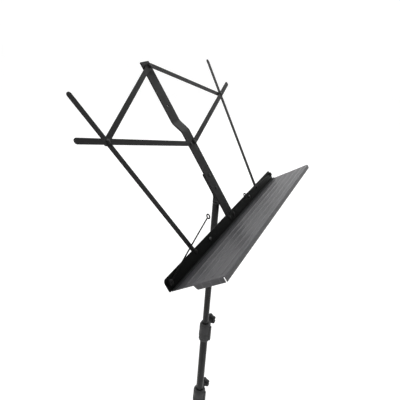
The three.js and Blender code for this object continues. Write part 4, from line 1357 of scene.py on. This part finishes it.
def lug_set(height):
    turns = [Matrix.Rotation(leg_azimuth(number), 4, "Z") for number in LEGS]
    return merged(*(moved(lug_mesh(), shift(0, 0, height) @ turned_by) for turned_by in turns))


def build_hub():
    bore, outer, floor = HUB["bore"], HUB["outer"], HUB["floor"]
    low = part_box("base_hub")[0][2] / MM
    top = low + HUB["height"]
    cup = turned(eased([
        (0, low), (outer - 3, low), (outer, low + 3), (outer, low + 8), (outer - 0.5, low + 8.5),
        (outer - 0.5, low + 9.5), (outer, low + 10), (outer, low + 26), (outer - 0.5, low + 26.5),
        (outer - 0.5, low + 27.5), (outer, low + 28), (outer, top), (bore, top), (bore, low + floor),
        (0, low + floor)], 0.5), 96)
    piece("base_hub_cup", cup, POLE, "base_pole", ("base_hub",), sharp=32)
    piece("base_hub_lugs", lug_set(hub_height()), POLE, "base_pole", slot="black_plastic", edge=0.5)


def build_collar():
    bore, outer = COLLAR["bore"], COLLAR["outer"]
    height = collar_height()
    low, high = height - COLLAR["below"], height + COLLAR["above"]
    sleeve = turned(eased([
        (bore, low), (outer, low), (outer, low + 5), (outer - 0.5, low + 5.5), (outer - 0.5, low + 6.5),
        (outer, low + 7), (outer, high - 4), (outer - 0.6, high), (bore, high), (bore, low)], 0.5), 96)
    screw = JOINTS["leg_collar_knob_turn"]
    azimuth = math.atan2(screw["axis"][1], screw["axis"][0])
    across = shift(0, 0, screw["pos_m"][2] / MM) @ Matrix.Rotation(azimuth, 4, "Z") @ turn("Y", 90)
    drill = turned([(0, 9), (SCREW_WAY, 9), (SCREW_WAY, 23), (0, 23)], 40)
    sleeve = drilled(sleeve, moved(drill, across))
    piece("leg_collar_sleeve", sleeve, POLE, "leg_collar", ("leg_collar",), sharp=32)
    boss = turned(eased([(SCREW_WAY, 13.5), (6.1, 13.5), (5.6, 16), (5.5, 21), (SCREW_WAY, 21),
                         (SCREW_WAY, 13.5)], 0.5), 64)
    piece("leg_collar_boss", moved(boss, across), POLE, "leg_collar", slot="black_plastic")
    piece("leg_collar_lugs", lug_set(height), POLE, "leg_collar", slot="black_plastic", edge=0.5)


def foot_outline():
    lean = open_angle()
    along = Vector((-math.sin(lean), math.cos(lean)))
    across = Vector((math.cos(lean), math.sin(lean)))
    length = LEG["length"]
    end = Vector((LEG["radius"] + length * math.sin(lean), collar_height() - length * math.cos(lean)))
    points = [(end.x - 13, 0), (end.x + 9, 0), (end.x + 13, 3), (end.x + 13.5, 9)]
    for up, out in ((-4, 9.5), (28, 9.2), (29, 7), (29, -7), (26, -8.5)):
        points.append(tuple(end + along * up + across * out))
    points += [(end.x - 19.5, 8), (end.x - 17, 4)]
    return rounded(points, (1.2, 1.6, 2.0, 3, 6, 1, 0.6, 0.6, 1, 1.2, 1.2), 5)


def build_feet():
    for number in LEGS:
        boot = moved(prism(foot_outline(), -BOOT["half"], BOOT["half"]), turn("X", 90))
        inner, outer, half = LEG["inner"] - GAP, LEG["outer"] + GAP, LEG["half"] + GAP
        socket = prism([(inner, -half), (outer, -half), (outer, half), (inner, half)],
                       -LEG["length"] - GAP, -LEG["length"] + BOOT["socket"])
        to_radial = radial_place(number).inverted() @ leg_place(number)
        to_radial.translation /= MM
        boot = drilled(boot, moved(socket, to_radial))
        end = min(x for x, height in foot_outline() if height < 0.01)
        for i in range(4):
            groove = BOOT["groove"]
            cutter = prism([(-groove, -12), (groove, -12), (groove, 12), (-groove, 12)], -1, groove)
            boot = drilled(boot, moved(cutter, shift(end + 5 + BOOT["groove_pitch"] * i)))
        node = f"foot_{number}"
        piece(f"{node}_boot", boot, radial_place(number), f"leg_{number}", (node,), edge=0.9)


# ------------------------------------------------------------------ pieces kept as they were cut
def finish_kept_nodes():
    """Finishes for the CAD pieces that no finer piece stands for."""
    for node, kept in frame["nodes"].items():
        kept.data.materials.clear()
        kept.data.materials.append(finish_of(SLOT_OF[node]))


# ------------------------------------------------------------------ stage
def build_camera():
    data = bpy.data.cameras.new("camera")
    data.lens = CAMERA["lens"]
    data.sensor_width = 36
    data.clip_start = 0.01
    camera = bpy.data.objects.new("camera", data)
    bpy.context.scene.collection.objects.link(camera)
    azimuth, elevation, roll = (math.radians(CAMERA[key]) for key in ("azimuth", "elevation", "roll"))
    level = Vector((math.cos(azimuth), -math.sin(azimuth), 0))
    view = Vector((math.sin(azimuth) * math.cos(elevation), math.cos(azimuth) * math.cos(elevation),
                   -math.sin(elevation)))
    upright = level.cross(view)
    right = level * math.cos(roll) + upright * math.sin(roll)
    up = upright * math.cos(roll) - level * math.sin(roll)
    turned_to = Matrix((right, up, -view)).transposed().to_4x4()
    camera.matrix_world = Matrix.Translation(DESK.translation + Vector(CAMERA_FROM_SHELF)) @ turned_to
    bpy.context.scene.camera = camera


def build_floor():
    """A round pale floor that curves up into a wall."""
    reach, bend, wall = FLOOR["reach"], FLOOR["bend"], FLOOR["wall"]
    profile = [(0.0, 0.0), (reach, 0.0)]
    for i in range(1, 17):
        angle = math.pi / 2 * i / 16
        profile.append((reach + bend * math.sin(angle), bend * (1 - math.cos(angle))))
    profile.append((reach + bend, bend + wall))
    mesh = turned(profile, 96)
    bmesh.ops.reverse_faces(mesh, faces=mesh.faces)
    floor = as_object("floor", mesh)
    floor.data.shade_smooth()
    floor.data.materials.append(studio_floor("pale_floor"))
    floor.location.z = FLOOR_DROP


def add_area(name, place, aim, size, power):
    data = bpy.data.lights.new(name, "AREA")
    data.shape = "RECTANGLE"
    data.size, data.size_y = size
    data.energy = power
    lamp = bpy.data.objects.new(name, data)
    lamp.location = place
    lamp.rotation_euler = (Vector(aim) - Vector(place)).to_track_quat("-Z", "Y").to_euler()
    bpy.context.scene.collection.objects.link(lamp)


def build_lights():
    world = bpy.data.worlds.new("soft_sky")
    world.use_nodes = True
    background = world.node_tree.nodes["Background"]
    background.inputs["Color"].default_value = (1, 1, 1, 1)
    background.inputs["Strength"].default_value = 0.5
    bpy.context.scene.world = world
    add_area("overhead", (0.2, 0.3, 4.2), (0, 0, 0.6), (3.2, 3.2), 45)
    add_area("window_right", (3.4, 0.2, 2.6), (0, 0, 0.9), (2.2, 2.2), 34)
    add_area("window_left", (-2.6, -2.4, 3.0), (0, 0, 0.9), (1.6, 1.6), 6)
    bpy.context.scene.view_settings.view_transform = "Standard"


# ------------------------------------------------------------------ operators and panel
class MUSICSTAND_OT_stage(bpy.types.Operator):
    """Makes the floor, the lights and the camera."""
    bl_idname = "music_stand.stage"
    bl_label = "Stage"

    def execute(self, context):
        build_camera()
        build_floor()
        build_lights()
        return {"FINISHED"}


class MUSICSTAND_OT_shelf(bpy.types.Operator):
    """Makes the ribbed shelf and the ledge strip."""
    bl_idname = "music_stand.shelf"
    bl_label = "Shelf"

    def execute(self, context):
        build_shelf()
        build_ledge()
        return {"FINISHED"}


class MUSICSTAND_OT_main_bar(bpy.types.Operator):
    """Makes the centre bar and the bracket behind it."""
    bl_idname = "music_stand.main_bar"
    bl_label = "Centre bar"

    def execute(self, context):
        build_main_bar()
        build_tilt_bracket()
        return {"FINISHED"}


class MUSICSTAND_OT_lattice(bpy.types.Operator):
    """Makes the six flat bars of the desk."""
    bl_idname = "music_stand.lattice"
    bl_label = "Lattice bars"

    def execute(self, context):
        build_lattice()
        return {"FINISHED"}


class MUSICSTAND_OT_fasteners(bpy.types.Operator):
    """Sets the desk's rivets and screws."""
    bl_idname = "music_stand.fasteners"
    bl_label = "Rivets and screws"

    def execute(self, context):
        build_rivets()
        build_screws()
        return {"FINISHED"}


class MUSICSTAND_OT_page_wires(bpy.types.Operator):
    """Bends the two page wires."""
    bl_idname = "music_stand.page_wires"
    bl_label = "Page wires"

    def execute(self, context):
        build_page_wires()
        return {"FINISHED"}


class MUSICSTAND_OT_tilt_head(bpy.types.Operator):
    """Makes the pole head, the tilt bolt and its wing nut."""
    bl_idname = "music_stand.tilt_head"
    bl_label = "Tilt head"

    def execute(self, context):
        build_pole_head()
        build_tilt_bolt()
        build_wing_nut()
        return {"FINISHED"}


class MUSICSTAND_OT_hand_knobs(bpy.types.Operator):
    """Makes the three lobed hand knobs."""
    bl_idname = "music_stand.hand_knobs"
    bl_label = "Hand knobs"

    def execute(self, context):
        build_hand_knobs()
        return {"FINISHED"}


class MUSICSTAND_OT_tubes(bpy.types.Operator):
    """Makes the three tubes of the pole."""
    bl_idname = "music_stand.tubes"
    bl_label = "Pole tubes"

    def execute(self, context):
        build_tubes()
        return {"FINISHED"}


class MUSICSTAND_OT_clamps(bpy.types.Operator):
    """Makes the two height clamps."""
    bl_idname = "music_stand.clamps"
    bl_label = "Clamps"

    def execute(self, context):
        build_clamps()
        return {"FINISHED"}


class MUSICSTAND_OT_hub(bpy.types.Operator):
    """Makes the base hub and the leg collar."""
    bl_idname = "music_stand.hub"
    bl_label = "Hub and collar"

    def execute(self, context):
        build_hub()
        build_collar()
        return {"FINISHED"}


class MUSICSTAND_OT_legs(bpy.types.Operator):
    """Makes the legs, the struts and their pins."""
    bl_idname = "music_stand.legs"
    bl_label = "Legs"

    def execute(self, context):
        build_legs()
        build_struts()
        build_leg_pins()
        return {"FINISHED"}


class MUSICSTAND_OT_feet(bpy.types.Operator):
    """Makes the three rubber feet."""
    bl_idname = "music_stand.feet"
    bl_label = "Feet"

    def execute(self, context):
        build_feet()
        return {"FINISHED"}


class MUSICSTAND_OT_finishes(bpy.types.Operator):
    """Paints the pieces kept as they were cut."""
    bl_idname = "music_stand.finishes"
    bl_label = "Remaining finishes"

    def execute(self, context):
        finish_kept_nodes()
        return {"FINISHED"}


OPERATORS = (
    MUSICSTAND_OT_stage,
    MUSICSTAND_OT_shelf,
    MUSICSTAND_OT_main_bar,
    MUSICSTAND_OT_lattice,
    MUSICSTAND_OT_fasteners,
    MUSICSTAND_OT_page_wires,
    MUSICSTAND_OT_tilt_head,
    MUSICSTAND_OT_hand_knobs,
    MUSICSTAND_OT_tubes,
    MUSICSTAND_OT_clamps,
    MUSICSTAND_OT_hub,
    MUSICSTAND_OT_legs,
    MUSICSTAND_OT_feet,
    MUSICSTAND_OT_finishes,
)


class MUSICSTAND_PT_panel(bpy.types.Panel):
    """Lists the steps that make the music stand."""
    bl_label = "Music Stand"
    bl_idname = "MUSICSTAND_PT_panel"
    bl_space_type = "VIEW_3D"
    bl_region_type = "UI"
    bl_category = "Music Stand"

    def draw(self, context):
        for group in (context.scene.music_stand_sizes, context.scene.music_stand_colours):
            box = self.layout.box()
            for name in group.bl_rna.properties.keys():
                if name not in {"rna_type", "name"}:
                    box.prop(group, name)
        for operator in OPERATORS:
            self.layout.operator(operator.bl_idname)


CLASSES = (MusicStandSizes, MusicStandColours, *OPERATORS, MUSICSTAND_PT_panel)


def register():
    for entry in CLASSES:
        bpy.utils.register_class(entry)
    bpy.types.Scene.music_stand_sizes = PointerProperty(type=MusicStandSizes)
    bpy.types.Scene.music_stand_colours = PointerProperty(type=MusicStandColours)


def unregister():
    del bpy.types.Scene.music_stand_colours
    del bpy.types.Scene.music_stand_sizes
    for entry in reversed(CLASSES):
        bpy.utils.unregister_class(entry)


def main():
    register()
    for operator in OPERATORS:
        group, name = operator.bl_idname.split(".")
        getattr(getattr(bpy.ops, group), name)()


if __name__ == "__main__":
    main()
